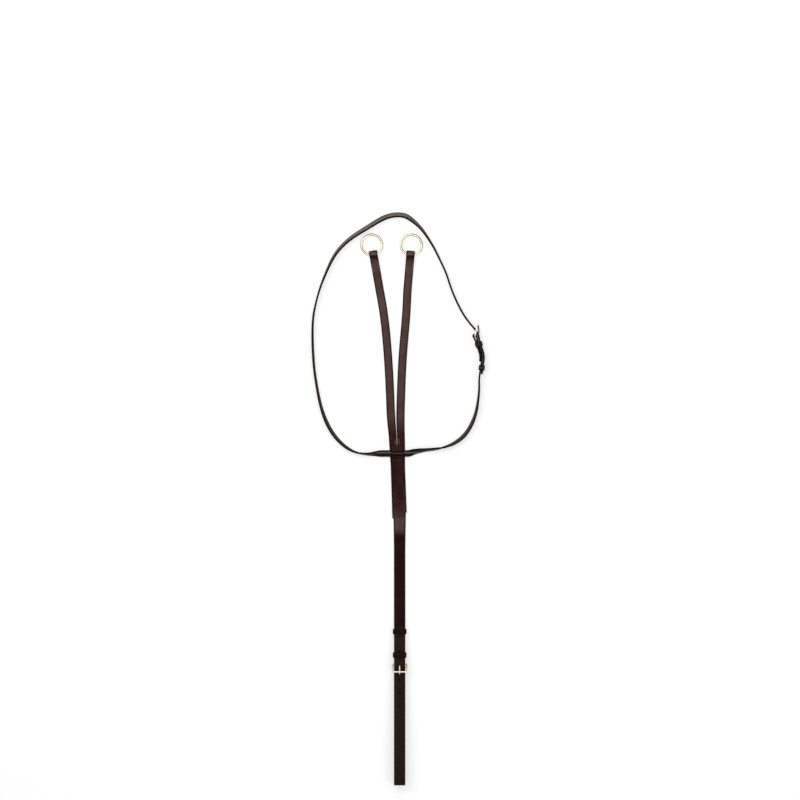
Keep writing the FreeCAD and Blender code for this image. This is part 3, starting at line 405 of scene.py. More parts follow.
def leather_section(half_width, thick, left=1.0, right=1.0, crease=1.0):
    """Closed profile of a strap, clockwise from the lower left, with a face slot for each side.

    left and right say how much each edge is rounded: 0 is a square cut that meets a neighbour.
    The edge dye covers a rounded edge and its border up to the crease; on the flat border it is real edge
    dye and also painted shade along the strap's edge.
    """
    half = thick / 2
    full = min(EDGE_ROUND, half * 0.92)
    r_left, r_right = max(0.02, full * left), max(0.02, full * right)
    x_left, x_right = r_left - half_width, half_width - r_right
    # A dyed border is darker than the grain: real edge dye, and also painted shade along the strap's edge
    dyed_shaded_left, dyed_shaded_right = (EDGE if amount > DYED_SHADED_EDGE else GRAIN for amount in (left, right))
    crease_at = half_width - min(CREASE_INSET, half_width * 0.45)
    deep = CREASE_DEPTH * crease * min(1.0, half)
    lift = half + CROWN * (left + right) / 2
    parts = [
        (arc_points((x_left, r_left - half), r_left, 270, 180, 4), EDGE),
        (arc_points((x_left, half - r_left), r_left, 180, 90, 5)[:-1], EDGE),
        ([(x_left, half), (-crease_at - CREASE_HALF, half)], dyed_shaded_left),
        ([(-crease_at, half - deep * left), (CREASE_HALF - crease_at, half)], GRAIN),
        ([(x * half_width, lift) for x in (-0.3, 0.0, 0.3)], GRAIN),
        ([(crease_at - CREASE_HALF, half)], GRAIN),
        ([(crease_at, half - deep * right), (crease_at + CREASE_HALF, half)], dyed_shaded_right),
        ([(x_right, half)], EDGE),
        (arc_points((x_right, half - r_right), r_right, 90, 0, 5)[1:], EDGE),
        (arc_points((x_right, r_right - half), r_right, 0, -90, 4)[:-1], EDGE),
        ([(x_right, -half), (half_width * 0.35, -half), (-half_width * 0.35, -half)], FLESH)]
    return ([point for points, _ in parts for point in points],
            [slot for points, slot in parts for _ in points])


def sweep(name, stations, materials):
    """Closed strap through stations: place, normal, across, half width, thickness, roundings."""
    bm = bmesh.new()
    rings, skins = [], []
    for place, normal, across, *sizes in stations:
        points, slots = leather_section(*sizes)
        rings.append([bm.verts.new((place + across * x + normal * y) * MM) for x, y in points])
        skins.append(slots)
    join_rings(bm, rings, skins)
    for cap in cap_ends(bm, rings):
        cap.material_index = EDGE
        for edge in cap.edges:
            edge.smooth = False
    return finished(bm, name, materials)


def clamped_spline(points, first, last):
    """Cubic through the points with given end directions; returns a sampler and its knots."""
    points = np.array([tuple(p) for p in points], dtype=float)
    spans = np.linalg.norm(np.diff(points, axis=0), axis=1)
    knots = np.concatenate([[0], np.cumsum(spans)])
    count, size = points.shape
    matrix = np.eye(count)
    right = np.zeros_like(points)
    right[0], right[-1] = tuple(first)[:size], tuple(last)[:size]
    for i in range(1, count - 1):
        before, after = spans[i - 1], spans[i]
        matrix[i, i - 1:i + 2] = after, 2 * (before + after), before
        right[i] = 3 * (after / before * (points[i] - points[i - 1])
                        + before / after * (points[i + 1] - points[i]))
    slopes = np.linalg.solve(matrix, right)

    def sample(mark):
        """Point and direction at a distance along the knots."""
        i = int(np.clip(np.searchsorted(knots, mark) - 1, 0, count - 2))
        t = (mark - knots[i]) / spans[i]
        rise, leave, arrive = points[i + 1] - points[i], slopes[i] * spans[i], slopes[i + 1] * spans[i]
        square, cube = 3 * rise - 2 * leave - arrive, leave + arrive - 2 * rise
        change = leave + t * (2 * square + t * 3 * cube)
        return points[i] + t * (leave + t * (square + t * cube)), change / np.linalg.norm(change)

    return sample, knots


def close_marks(knots):
    """Marks a few millimetres apart that keep every knot."""
    marks = []
    for left, right in zip(knots, knots[1:]):
        parts = max(1, int((right - left) / 4))
        marks += [left + (right - left) * i / parts for i in range(parts)]
    return marks + [knots[-1]]


def side_stations(line, axes, across, half_widths, first, last, count=None, face=1):
    """Stations along a side view line of (along, up, thickness) points, drawn in the given axes.

    The grain side faces up in these axes, or down where face is -1.
    """
    sample, knots = clamped_spline([point[:2] for point in line], first, last)
    thicks = [point[2] for point in line]
    halves = np.broadcast_to(half_widths, len(line))
    marks = [knots[-1] * i / count for i in range(count + 1)] if count else close_marks(knots)
    stations = []
    for mark in marks:
        (s, n), (ds, dn) = sample(mark)
        normal = axes.to_3x3() @ Vector((-dn, ds, 0)) * face
        half, thick = (float(np.interp(mark, knots, values)) for values in (halves, thicks))
        stations.append((axes @ Vector((s, n, 0)), normal, across, half, thick))
    return stations


def axes_at(origin, along, up):
    """Axes at a place in millimetres: local X runs along, local Y up."""
    turn = Matrix((along, up, along.cross(up))).transposed().to_4x4()
    return Matrix.Translation(origin) @ turn


def cut(piece, cutters):
    """Takes each cutter out of the piece and deletes the cutters."""
    bpy.context.view_layer.objects.active = piece
    for cutter in cutters:
        modifier = piece.modifiers.new("cut", "BOOLEAN")
        modifier.object = cutter
        modifier.operation = "DIFFERENCE"
        modifier.solver = "EXACT"
        bpy.ops.object.modifier_apply(modifier=modifier.name)
        bpy.data.objects.remove(cutter)


def cylinder(centre, axis, radius, length, material):
    """Round cutter; places are in millimetres."""
    bm = bmesh.new()
    place = Matrix.Translation(centre * MM) @ UP.rotation_difference(axis).to_matrix().to_4x4()
    bmesh.ops.create_cone(bm, cap_ends=True, segments=28, radius1=radius * MM, radius2=radius * MM,
                          depth=length * MM, matrix=place)
    return finished(bm, "cylinder", [material])


def oblong(axes, centre, size, material):
    """Rounded slot cutter, long in local X, through along local Y, in the buckle's axes."""
    length, depth, width = size
    radius = width / 2
    middle = length / 2 - radius
    outline = arc_points((middle, 0), radius, -90, 90, 9) + arc_points((-middle, 0), radius, 90, 270, 9)
    bm = bmesh.new()
    rings = [[bm.verts.new(axes @ (Vector(centre) + Vector((x, y, z))) * MM) for x, z in outline]
             for y in (-depth / 2, depth / 2)]
    cap_ends(bm, rings)
    join_rings(bm, rings, smooth=False)
    return finished(bm, "slot", [material])


def tube(name, path, radius, material, closed=False, segments=24):
    """Round bar along a smooth list of points in millimetres."""
    bm = bmesh.new()
    rings, sides = [], None
    around = [path[-1], *path, path[0]] if closed else [path[0], *path, path[-1]]
    for before, place, after in zip(around, path, around[2:]):
        along = (after - before).normalized()
        if sides is None:
            sides = UP if abs(along.z) < 0.9 else Vector((1, 0, 0))
        sides = (sides - along * sides.dot(along)).normalized()
        other = along.cross(sides)
        rings.append([bm.verts.new((place + sides * x + other * y) * MM)
                      for x, y in circle_points(radius, segments)])
    join_rings(bm, rings, closed=closed)
    if not closed:
        cap_ends(bm, rings)
    return finished(bm, name, [material])


def ball(centre, radius, material):
    bm = bmesh.new()
    bmesh.ops.create_uvsphere(bm, u_segments=24, v_segments=14, radius=radius * MM,
                              matrix=Matrix.Translation(centre * MM))
    for face in bm.faces:
        face.smooth = True
    return finished(bm, "ball", [material])


def joined(name, pieces):
    """One object from several, kept as separate shells."""
    bpy.ops.object.select_all(action="DESELECT")
    for piece in pieces:
        piece.select_set(True)
    bpy.context.view_layer.objects.active = pieces[0]
    bpy.ops.object.join()
    pieces[0].name = name
    return pieces[0]


# ---------------- fork strap

def joint_place(child):
    joint = next(j for j in frame["record"]["behaviour"]["joints"] if j["child"] == child)
    return Vector(joint["pos_m"]) / MM


def ring_seat(node, lean):
    """Turning point of a ring in its fold, and the directions down and across the branch."""
    down = Vector((math.sin(lean), -math.cos(lean), 0))
    return joint_place(node), down, Vector((math.cos(lean), math.sin(lean), 0))


def fold_line(hinge):
    """Side view of the strap's middle line round the ring: (along, up, thickness)."""
    both = TURNBACK_THICK + FORK_THICK / 2
    line = [(54, 1.72, 3.4), (47, 2.0, 3.4), (41, 2.9, 3.4), (35, both - 0.1, 3.4), (28, both, 3.4),
            (20, both, 3.4), (15.5, both + 0.05, 3.4), (12.5, both + 0.25, 3.3),
            (10.5, both + 0.75, 3.1), (8.6, 5.4, 3.0), (6.9, 6.6, 2.9), (5.2, 7.8, 2.8)]
    over = arc_points((0, hinge.z), RING_BORE + FOLD_THICK / 2, 50, 90, 3)
    line += [(along, up, FOLD_THICK) for along, up in over]
    for i in range(1, 13):
        angle = math.radians(90 + 180 * i / 12)
        thick = FOLD_THICK + (TURNBACK_THICK - FOLD_THICK) * i / 12
        reach = RING_BORE + thick / 2
        line.append((-RING_SLACK + reach * math.cos(angle), hinge.z + reach * math.sin(angle), thick))
    low = TURNBACK_THICK / 2
    line += [(along, low, TURNBACK_THICK) for along in (5, 14, 26, 36)]
    return line + [(TURNBACK_LENGTH, low - 0.35, 1.4)]


def edge_rounds(side, inner):
    """Rounding of the left and right edges of one half: full outside, inner along the slit."""
    return (1.0, inner) if side < 0 else (inner, 1.0)


def body_stations(side):
    """One half of the fork's body, from its slanted lower end up to the slit."""
    stations = []
    splice_top = FORK_END_Y + SPLICE_LENGTH
    for i in range(BODY_SPANS + 1):
        share = i / BODY_SPANS
        y = FORK_END_Y + (SLIT_END_Y - FORK_END_Y) * share
        width = float(np.interp(y, (FORK_END_Y, FORK_WAIST_Y, SLIT_END_Y),
                                (FORK_END_WIDTH, FORK_WAIST_WIDTH, FORK_WIDTH)))
        top, skived = (float(np.interp(y, (FORK_END_Y, splice_top), ends))
                       for ends in ((SPLICE_TOP, FORK_THICK), (FORK_END_THICK, SPLICE_THICK)))
        thick = skived if y < splice_top else FORK_THICK
        slant = FORK_END_SLANT * max(0, 1 - share * 9)
        reach = FORK_ACROSS * (width / 4) + FORK_ALONG * (slant / 2)
        at_slit = i == BODY_SPANS
        shift = SLIT_WIDTH / 4 if at_slit else 0
        place = Vector((-math.tan(FORK_LEAN) * y, y, top - thick / 2))
        place += (reach + FORK_ACROSS * shift) * side
        stations.append((place, UP, reach.normalized(), reach.length - shift, thick)
                        + edge_rounds(side, SLIT_ROUND if at_slit else 0.0))
    return stations


def branch_stations(side, points, hinge, down):
    """One branch, from the slit's end to where its fold begins."""
    start_width = FORK_WIDTH / 2 - SLIT_WIDTH / 2
    start_x = -math.tan(FORK_LEAN) * SLIT_END_Y + side * (SLIT_WIDTH / 2 + start_width / 2)
    end = Vector((hinge.x, hinge.y)) + down.xy * BRANCH_END_LENGTH
    sample, knots = clamped_spline([(start_x, SLIT_END_Y)] + points + [end], FORK_ALONG, -down)
    count = int(knots[-1] / 5)
    stations = []
    for i in range(1, count):
        (x, y), (dx, dy) = sample(knots[-1] * i / count)
        grow = min(1.0, (y - SLIT_END_Y) / (FULL_WIDTH_Y - SLIT_END_Y))
        width = start_width + (BRANCH_WIDTH - start_width) * grow
        stations.append((Vector((x, y, FORK_THICK / 2)), UP, Vector((dy, -dx, 0)), width / 2, FORK_THICK)
                        + edge_rounds(side, min(1.0, SLIT_ROUND + grow * 1.2)))
    return stations


def half_fork(side, points, node, lean):
    """Stations of one half: up the body, along its branch, round the ring and back under."""
    hinge, down, across = ring_seat(node, lean)
    axes = axes_at((hinge.x, hinge.y, 0), down, UP)
    return body_stations(side) + branch_stations(side, points, hinge, down) + side_stations(
        fold_line(hinge), axes, across, BRANCH_WIDTH / 2, (-1, 0), (1, -0.05), FOLD_SPANS, face=-1)


def build_fork(skins):
    halves = [sweep("half", half_fork(-1, LEFT_BRANCH, "left_ring", LEFT_LEAN), skins),
              sweep("half", half_fork(1, RIGHT_BRANCH, "right_ring", RIGHT_LEAN), skins)]
    dress(joined("fork_leather", halves), "fork", "fork_leather", "fork_strap")


def build_ring(node, lean, metal):
    """Round-wire ring, welded and polished, tilted so that its far side lies on the ground."""
    hinge, down, across = ring_seat(node, lean)
    reach = math.sqrt(RING_RADIUS ** 2 - (BRANCH_WIDTH / 2) ** 2)
    offset = (RING_RADIUS + reach) / 2
    tilt = math.asin((hinge.z - RING_WIRE_RADIUS) / (RING_RADIUS + offset))
    out = -down * math.cos(tilt) - UP * math.sin(tilt)
    centre = hinge + out * offset
    path = [centre + across * x + out * y for x, y in circle_points(RING_RADIUS, 96)]
    dress(tube(node + "_brass", path, RING_WIRE_RADIUS, metal, closed=True), node, "brass", node)


# ---------------- neck strap

ROUTE_TO_CROSSING = [
    (155.2, 128, -2, 2.4), (153.2, 101.7, -6, 1), (149.2, 78.9, -14), (140.9, 56, -22),
    (125.7, 33.3, -26), (111.2, 21.7, -21), (92.2, 13.1, -8), (73.2, 8.7, 12),
    (54.2, 6.8, 19), (38, 4.6, 38, 1), (28, 2.3, 60, 2.4),
]
ROUTE_FROM_CROSSING = [
    (-27, 0, 84, 3.4), (-34, -0.1, 64, 2.4), (-43, -0.5, 36, 1), (-52, -1, 19),
    (-61, -0.8, 10), (-70, 0.2, 3), (-78.8, 2.3, -4),
    (-95.1, 10.5, -15), (-119, 33.3, -22), (-132.9, 56, -22), (-145.3, 90.3, -14),
    (-152.5, 124.5, -10), (-157.6, 158.7, -8), (-160.3, 192.9, -8), (-161.2, 227, -6),
    (-159.5, 261.3, -4), (-153.8, 289.8, 0), (-145.3, 319, 5), (-135.8, 343, 10),
    (-117.5, 379, 19), (-97.8, 401.1, 25), (-78.8, 415.7, 30), (-59.8, 427.5, 35),
    (-40.8, 439.3, 38), (-21.8, 449, 39), (-1.8, 453.2, 39), (16.2, 450.7, 39),
    (27.3, 443.7, 33), (40.4, 432.3, 20), (58, 409.5, 10), (71.5, 386.7, 5),
    (82.6, 363.9, 3), (92.8, 341.1, 2), (100.4, 318.3, 2, 0.4), (110, 294.2, 3, 1.6),
    (121.2, 271.4, 4, 3.4), (131.2, 255.4, 3, EDGE_LIFT), (136.8, 247.9, 0, EDGE_LIFT),
]


def heading_vector(heading):
    return Vector((math.sin(heading), -math.cos(heading), 0))


def outward(along):
    return Vector((-along.y, along.x, 0))


def neck_base(at):
    """Point and direction on the bar's level line, behind the neck buckle's bar."""
    bar = joint_place("neck_frame")
    origin = Vector((bar.x, bar.y, 0))
    start = heading_vector(NECK_HEADING)
    if at <= NECK_BEND_START:
        return origin + start * at, start
    radius = NECK_BEND_LENGTH / NECK_BEND
    turned = min(at - NECK_BEND_START, NECK_BEND_LENGTH) / radius
    along = heading_vector(NECK_HEADING - turned)
    centre = origin + start * NECK_BEND_START - outward(start) * radius
    point = centre + outward(along) * radius
    return point + along * max(0, at - NECK_BEND_START - NECK_BEND_LENGTH), along


def neck_station(point, along, roll, lift, share=1.0, thick=NECK_THICK):
    """Cross-section whose lowest corner is at height lift."""
    out = outward(along)
    turn = math.radians(roll)
    normal = out * math.cos(turn) + UP * math.sin(turn)
    across = UP * math.cos(turn) - out * math.sin(turn)
    height = (NECK_WIDTH * abs(math.cos(turn)) + NECK_THICK * abs(math.sin(turn))) / 2
    place = Vector((point.x, point.y, lift + height))
    return place, normal, across, NECK_WIDTH / 2 * share, thick


def smooth_interp(mark, marks, values):
    """Piecewise interpolation with eased ends on each piece, so that twists have no kinks."""
    i = int(np.clip(np.searchsorted(marks, mark) - 1, 0, len(marks) - 2))
    t = (mark - marks[i]) / (marks[i + 1] - marks[i])
    eased = t + 0.5 * (t * t * (3 - 2 * t) - t)
    return values[i] + (values[i + 1] - values[i]) * eased


def route_stations(route, first, last):
    """Stations along (x, y, roll, lift) points; a point without a lift lies on the ground."""
    sample, knots = clamped_spline([spot[:2] for spot in route], first, last)
    rolls = [spot[2] for spot in route]
    lifts = [sum(spot[3:]) for spot in route]
    count = int(knots[-1] / STEP)
    stations = []
    for i in range(count + 1):
        mark = knots[-1] * i / count
        (x, y), (dx, dy) = sample(mark)
        roll = smooth_interp(mark, knots, rolls)
        lift = float(np.interp(mark, knots, lifts))
        stations.append(neck_station(Vector((x, y, 0)), Vector((dx, dy, 0)), roll, lift))
    return stations


def neck_fold():
    """Turnback, round the bar and out again: (behind the bar, outward, thickness)."""
    thick = NECK_FOLD_THICK
    flat = thick / 2
    back = [(NECK_BEND_START, -flat, thick), (25, -flat, thick), (18, -flat, thick),
            (10.5, -flat - 0.05, thick), (6, -flat - 0.75, thick)]
    nose = [(*point, thick) for point in arc_points((0, 0), BORE_RADIUS + flat, 285, 75, 11)]
    return back + nose + [(at, -up, thick) for at, up, thick in back[::-1]]


def neck_axes(at=0.0):
    point, along = neck_base(at)
    return axes_at((point.x, point.y, EDGE_LIFT + NECK_WIDTH / 2), along, outward(along))


def neck_layer(at, up, share=1.0, thick=NECK_THICK):
    point, along = neck_base(at)
    return neck_station(point + outward(along) * up, along, 0, EDGE_LIFT, share, thick)


def turnback_stations():
    """Sewn-down end on the inner side, from its skived edge to the straight fold."""
    full = np.arange(NECK_TURNBACK - 3.5, NECK_BEND_START + 1, -2.5)
    skived = [(NECK_TURNBACK, 1.8), (NECK_TURNBACK - 1.5, 2.8)]
    stations = []
    for at, thick in skived + [(at, NECK_FOLD_THICK) for at in full]:
        place, normal, *sizes = neck_layer(at, -thick / 2, thick=thick)
        stations.append((place, -normal, *sizes))
    return stations


def carrier_stations():
    """The single strap behind the buckle, for as long as it runs straight."""
    behind = [neck_layer(at, NECK_FOLD_THICK / 2, thick=NECK_FOLD_THICK) for at in NECK_BEND_AT + [50.5]]
    return behind + [neck_layer(at, CARRIER_OFFSET) for at in np.arange(53, NECK_STRAIGHT_TO - 2, 4)]


def round_stations(rail_at, rail_up, climb):
    """Once round the neck: down to the crossing, flat through it, and up to the buckle's rail."""
    start, along = neck_base(NECK_STRAIGHT_TO)
    start += outward(along) * CARRIER_OFFSET
    right = [(start.x, start.y, 0, EDGE_LIFT)] + ROUTE_TO_CROSSING
    right += [(CROSSING_STRAIGHT, 0, 90, NECK_ON_FORK)]
    stations = route_stations(right, along, LEFTWARD)
    crossing = np.arange(CROSSING_STRAIGHT - 4, -CROSSING_STRAIGHT + 2, -4)
    stations += [neck_station(Vector((x, 0, 0)), LEFTWARD, 90, NECK_ON_FORK) for x in crossing]
    point, along = neck_base(rail_at)
    point += outward(along) * rail_up
    left = [(-CROSSING_STRAIGHT, 0, 90, NECK_ON_FORK)] + ROUTE_FROM_CROSSING
    left += [(point.x, point.y, 0, EDGE_LIFT)]
    return stations + route_stations(left, LEFTWARD, heading_vector(NECK_HEADING + climb))


def billet_line():
    """Middle of the billet from under the rail to where it lies on the strap."""
    over = BORE_RADIUS + NECK_FOLD_THICK + LAYER_GAP + NECK_THICK / 2
    line = [(-RAIL_BACK, NECK_UNDER_RAIL), (-9.5, 4.75), (-4.4, over - 0.3), (-0.5, over + 0.1),
            (3.2, over - 0.15), (8, BILLET_OFFSET + 0.65), (12.5, BILLET_OFFSET + 0.05),
            (18, BILLET_OFFSET), (25, BILLET_OFFSET), (NECK_BEND_START, BILLET_OFFSET)]
    return [(at, up, NECK_THICK) for at, up in line]


def tip_shares(count):
    """Steps to a strap's point: how far they are from its end, and their share of its width."""
    for i in range(1, count + 1):
        yield TIP_LENGTH * (1 - i / count), math.sqrt(max(TIP_BLUNT, 1 - (i / count) ** 2))


def cut_neck(strap, axes, edge):
    """The buckle's and the tongue's slots, and two spare holes in the billet."""
    cutters = [oblong(axes, (-4.2, 6.0, 0), (8.6, 11.6, 4.2), edge),
               oblong(axes, (-1.2, 0, 0), (10.4, 10.2, TONGUE_SLOT), edge)]
    for i in (1, 2):
        hole = neck_axes(HOLE_PITCH * i + 1)
        out = hole.to_3x3() @ Vector((0, 1, 0))
        cutters.append(cylinder(hole @ Vector((0, BILLET_OFFSET + 1.0, 0)), out, HOLE_RADIUS, 5.0, edge))
    cut(strap, cutters)


def build_neck(skins):
    """Sewn turnback, once round, through the buckle and under the keepers to its point."""
    axes = neck_axes()
    half = NECK_WIDTH / 2
    line = billet_line()
    climb = math.atan2(line[1][1] - line[0][1], line[1][0] - line[0][0])
    stations = turnback_stations() + side_stations(neck_fold(), axes, UP, half, (-1, 0), (1, 0), 64)
    stations += carrier_stations() + round_stations(*line[0][:2], climb)
    stations += side_stations(line, axes, UP, half, (math.cos(climb), math.sin(climb)), (1, 0), 44)[1:]
    stations += [neck_layer(at, BILLET_OFFSET) for at in NECK_BEND_AT + [51, 54, 57, 60]]
    stations += [neck_layer(BILLET_TAIL - back, BILLET_OFFSET, share) for back, share in tip_shares(12)]
    strap = sweep("neck_leather", stations, skins)
    cut_neck(strap, axes, skins[EDGE])
    dress(strap, "neck", "neck_leather", "neck_strap")


# ---------------- girth strap

def girth_axes(at=0.0):
    bar = joint_place("girth_frame")
    return axes_at((bar.x, bar.y + at, bar.z), FORWARD, UP)


def girth_line():
    """Middle of the girth strap seen from the side: (y, z, thickness, half width)."""
    bar = joint_place("girth_frame")
    half = GIRTH_WIDTH / 2
    top_half = GIRTH_TOP_WIDTH / 2
    mid = GIRTH_THICK / 2
    turn_y = bar.y - GIRTH_LOOP_LENGTH
    splice_top = FORK_END_Y + SPLICE_LENGTH
    up = mid + GIRTH_LIFT
    line = [(splice_top, 0.4, 0.8, half), (splice_top - 20, 0.8, 1.5, half + 0.3),
            (FORK_END_Y + 4, mid - 0.05, 2.85, top_half), (FORK_END_Y - 6, mid, GIRTH_THICK, top_half),
            (FORK_END_Y - 30, mid, GIRTH_THICK, half + 0.45)]
    run = [(y, mid) for y in (FORK_END_Y - 62, -230, -260, bar.y + 120)]
    run += [(bar.y + at, z) for at, z in
            ((112, mid + 0.02), (92, mid + 1.0), (74, up), (60, up), (30, up), (0, up), (-24, up),
             (-40, mid + 1.2), (-58, mid + 0.05), (-66, mid), (-110, mid), (-165, mid))]
    run += [(turn_y + at, mid) for at in (30, 9, 3, 0)]
    radius = GIRTH_TURN_RADIUS + mid
    run += arc_points((turn_y, mid + radius), radius, -90, -270, 13)[1:-1]
    top = mid + 2 * radius
    drop = top - bar.z - GIRTH_UNDER_RAIL
    span = GIRTH_LOOP_LENGTH - RAIL_BACK
    run += [(turn_y + span * share, top - drop * fall) for share, fall in
            ((0, 0), (0.015, 0.002), (0.05, 0.015), (0.2, 0.10), (0.45, 0.38), (0.7, 0.72), (0.9, 0.95))]
    run += [(bar.y + at, bar.z + rise) for at, rise in
            ((-RAIL_BACK, GIRTH_UNDER_RAIL), (-9.5, 3.65), (-4.4, 5.05), (-0.5, 5.4), (3.2, 5.15),
             (8, 3.7), (12.5, 2.35), (20, 2.3), (32, 2.3), (CHAPE_LENGTH + 1, 2.25))]
    run += [(bar.y + at, GIRTH_LIE) for at in (CHAPE_LENGTH + 10, 58, BILLET_TAIL - TIP_LENGTH)]
    line += [(y, z, GIRTH_THICK, half) for y, z in run]
    return line + [(bar.y + BILLET_TAIL - back, GIRTH_LIE, GIRTH_THICK, half * share)
                   for back, share in tip_shares(8)]


def build_girth(skins):
    line = girth_line()
    stations = side_stations(line, axes_at((GIRTH_X, 0, 0), FORWARD, UP), LEFTWARD,
                             [point[3] for point in line], (-1, 0), (1, 0), face=-1)
    strap = sweep("girth_leather", stations, skins)
    edge = skins[EDGE]
    bar = joint_place("girth_frame")
    cutters = [oblong(girth_axes(), (-3.6, 6.2, 0), (7.6, 7.0, 4.2), edge)]
    holes = [(HOLE_PITCH * i - 6, bar.z + 6.5, 12) for i in (-3, -2, -1)]
    holes += [(HOLE_PITCH, bar.z + 2.3, 4.4), (2 * HOLE_PITCH, GIRTH_LIE + 0.3, 3.9)]
    for at, height, depth in holes:
        cutters.append(cylinder(Vector((GIRTH_X, bar.y + at, height)), UP, HOLE_RADIUS, depth, edge))
    cut(strap, cutters)
    dress(strap, "fork", "fork_leather", "girth_strap")


def build_chape(skins):
    """Folded leather that holds the girth buckle."""
    lower = -CHAPE_RADIUS + CHAPE_THICK / 2
    upper = lower + CHAPE_THICK
    line = [(CHAPE_LENGTH, lower), (28, lower), (12, lower)]
    line += arc_points((0, 0), BORE_RADIUS + CHAPE_THICK / 2, 270, 70, 9)
    line += [(6.5, 0.6), (11, upper), (20, upper), (32, upper), (CHAPE_LENGTH, upper)]
    stations = side_stations([(*point, CHAPE_THICK) for point in line], girth_axes(), -LEFTWARD,
                             GIRTH_WIDTH / 2, (-1, 0), (1, 0), 72)
    chape = sweep("chape_leather", stations, skins)
    cut(chape, [oblong(girth_axes(), (-1.2, 0, 0), (9.4, 7.8, TONGUE_SLOT), skins[EDGE])])
    dress(chape, "fork", "fork_leather", "girth_chape")


def build_neck_loop(skins):
    """Short strip humped over the neck strap, sewn to the fork at both feet."""
    half = NECK_WIDTH / 2 + 1
    floor = FORK_THICK + LOOP_THICK / 2
    top = FORK_THICK + 2 * LAYER_GAP + NECK_THICK + LOOP_THICK / 2
    low, high = (Vector(corner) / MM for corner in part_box("neck_loop"))
    slope = [(half - 3.6, top), (half - 1.2, top - 0.35), (half + 0.6, floor + 2.0),
             (half + 2.2, floor + 0.5), (half + 3.8, floor)]
    hump = [(low.y + 1.6, floor)] + [(-y, z) for y, z in slope[::-1]]
    hump += [(0, top + 0.05)] + slope + [(high.y - 1.6, floor)]
    line = [(low.y, floor, 1.5)] + [(y, z, LOOP_THICK) for y, z in hump] + [(high.y, floor, 1.5)]
    axes = axes_at(((low.x + high.x) / 2, 0, 0), FORWARD, UP)
    stations = side_stations(line, axes, -LEFTWARD, (high.x - low.x) / 2, (1, 0), (1, 0), 60)
    dress(sweep("neck_loop_leather", stations, skins), "fork", "fork_leather", "neck_loop")


# ---------------- keepers and buckles

def keeper_outline(half, bottom, top):
    """Rounded rectangle round the straps: (across, up) points, each with its outward direction."""
    inner = half - KEEPER_BEND
    low, high = bottom + KEEPER_BEND, top - KEEPER_BEND
    corners = []
    for centre, start in (((inner, high), 90), ((inner, low), 0), ((-inner, low), -90),
                          ((-inner, high), -180)):
        points = arc_points(centre, KEEPER_BEND, start, start - 90, 7)
        normals = arc_points((0, 0), 1, start, start - 90, 7)
        corners += [point + normal for point, normal in zip(points, normals)]
    outline = []
    for here, after in zip(corners, corners[1:] + corners[:1]):
        parts = max(1, int(math.dist(here[:2], after[:2]) / 2.5))
        outline += [[a + (b - a) * i / parts for a, b in zip(here, after)] for i in range(parts)]
    return outline


def build_keeper(node, body, slot, axes, strap_width, low, high, skins):
    """Closed band round the straps, swept once round them."""
    middle = KEEPER_THICK / 2
    half = strap_width / 2 + KEEPER_PLAY + middle
    turn = axes.to_3x3()
    along = turn @ Vector((1, 0, 0))
    points, slots = leather_section(KEEPER_WIDTH / 2, KEEPER_THICK, crease=0.8)
    bm = bmesh.new()
    rings = []
    for z, y, nz, ny in keeper_outline(half, low - middle, high + middle):
        normal = (turn @ Vector((0, ny, nz))).normalized()
        place = axes @ Vector((0, y, z))
        rings.append([bm.verts.new((place + along * a + normal * b) * MM) for a, b in points])
    join_rings(bm, rings, [slots] * len(rings), closed=True)
    dress(finished(bm, node + "_leather", skins), body, slot, node)


def build_frame(node, body, axes, strap_width, metal):
    """Buckle frame: three round rails with bent corners, and a thinner bar."""
    half = strap_width / 2 + FRAME_SIDE_GAP + FRAME_RADIUS
    tilt = Matrix.Rotation(-FRAME_TILT, 4, "Z")
    corner = FRAME_CORNER
    side = [(0.0, -half)] + [(-x, -half) for x in np.linspace(2, FRAME_LENGTH - corner, 6)]
    side += arc_points((-FRAME_LENGTH + corner, -half + corner), corner, -90, -180, 9)[1:]
    rail = [(-FRAME_LENGTH, w) for w in np.linspace(-half + corner, half - corner, 10)[1:-1]]
    outline = side + rail + [(x, -w) for x, w in side[::-1]]
    path = [axes @ tilt @ Vector((x, 0, w)) for x, w in outline]
    rails = tube("rails", path, FRAME_RADIUS, metal)
    ends = [axes @ Vector((0, 0, w)) for w in (-half, half)]
    bar = tube("bar", [ends[0].lerp(ends[1], t / 8) for t in range(9)], BAR_RADIUS, metal)
    knobs = [ball(end, FRAME_RADIUS, metal) for end in ends]
    dress(joined(node + "_brass", [rails, bar] + knobs), body, "brass", node)


def build_tongue(node, body, axes, metal):
    """Eye round the bar and a bent prong, drawn as one smooth bar with a rounded tip."""
    rail = Vector((-math.cos(FRAME_TILT), math.sin(FRAME_TILT), 0)) * FRAME_LENGTH
    lean = Vector((0.2, 1, 0)).normalized()
    run = Vector((-1, 0.2, 0)).normalized()
    over = rail + lean * (FRAME_RADIUS + TONGUE_RADIUS + 0.05)
    knee = over - run * 10.4
    tip = over + run * 3.6
    root = Vector((-1.1, 2.0, 0))
    line = [root, root.lerp(knee, 0.5), root.lerp(knee, 0.85), knee + run * 0.5 - lean * 0.15,
            knee.lerp(tip, 0.2), knee.lerp(tip, 0.6), knee.lerp(tip, 0.9), tip]
    path = [axes @ p for p in line]
    prong = tube("prong", path, TONGUE_RADIUS, metal, segments=18)
    pieces = [prong, ball(path[-1], TONGUE_RADIUS, metal)]
    for w in EYE_WIRES:
        wire = [axes @ Vector((x, y, w)) for x, y in circle_points(EYE_RADIUS, 40)]
        pieces.append(tube("eye", wire, EYE_WIRE_RADIUS, metal, closed=True, segments=12))
    dress(joined(node + "_brass", pieces), body, "brass", node)


# ---------------- stitching

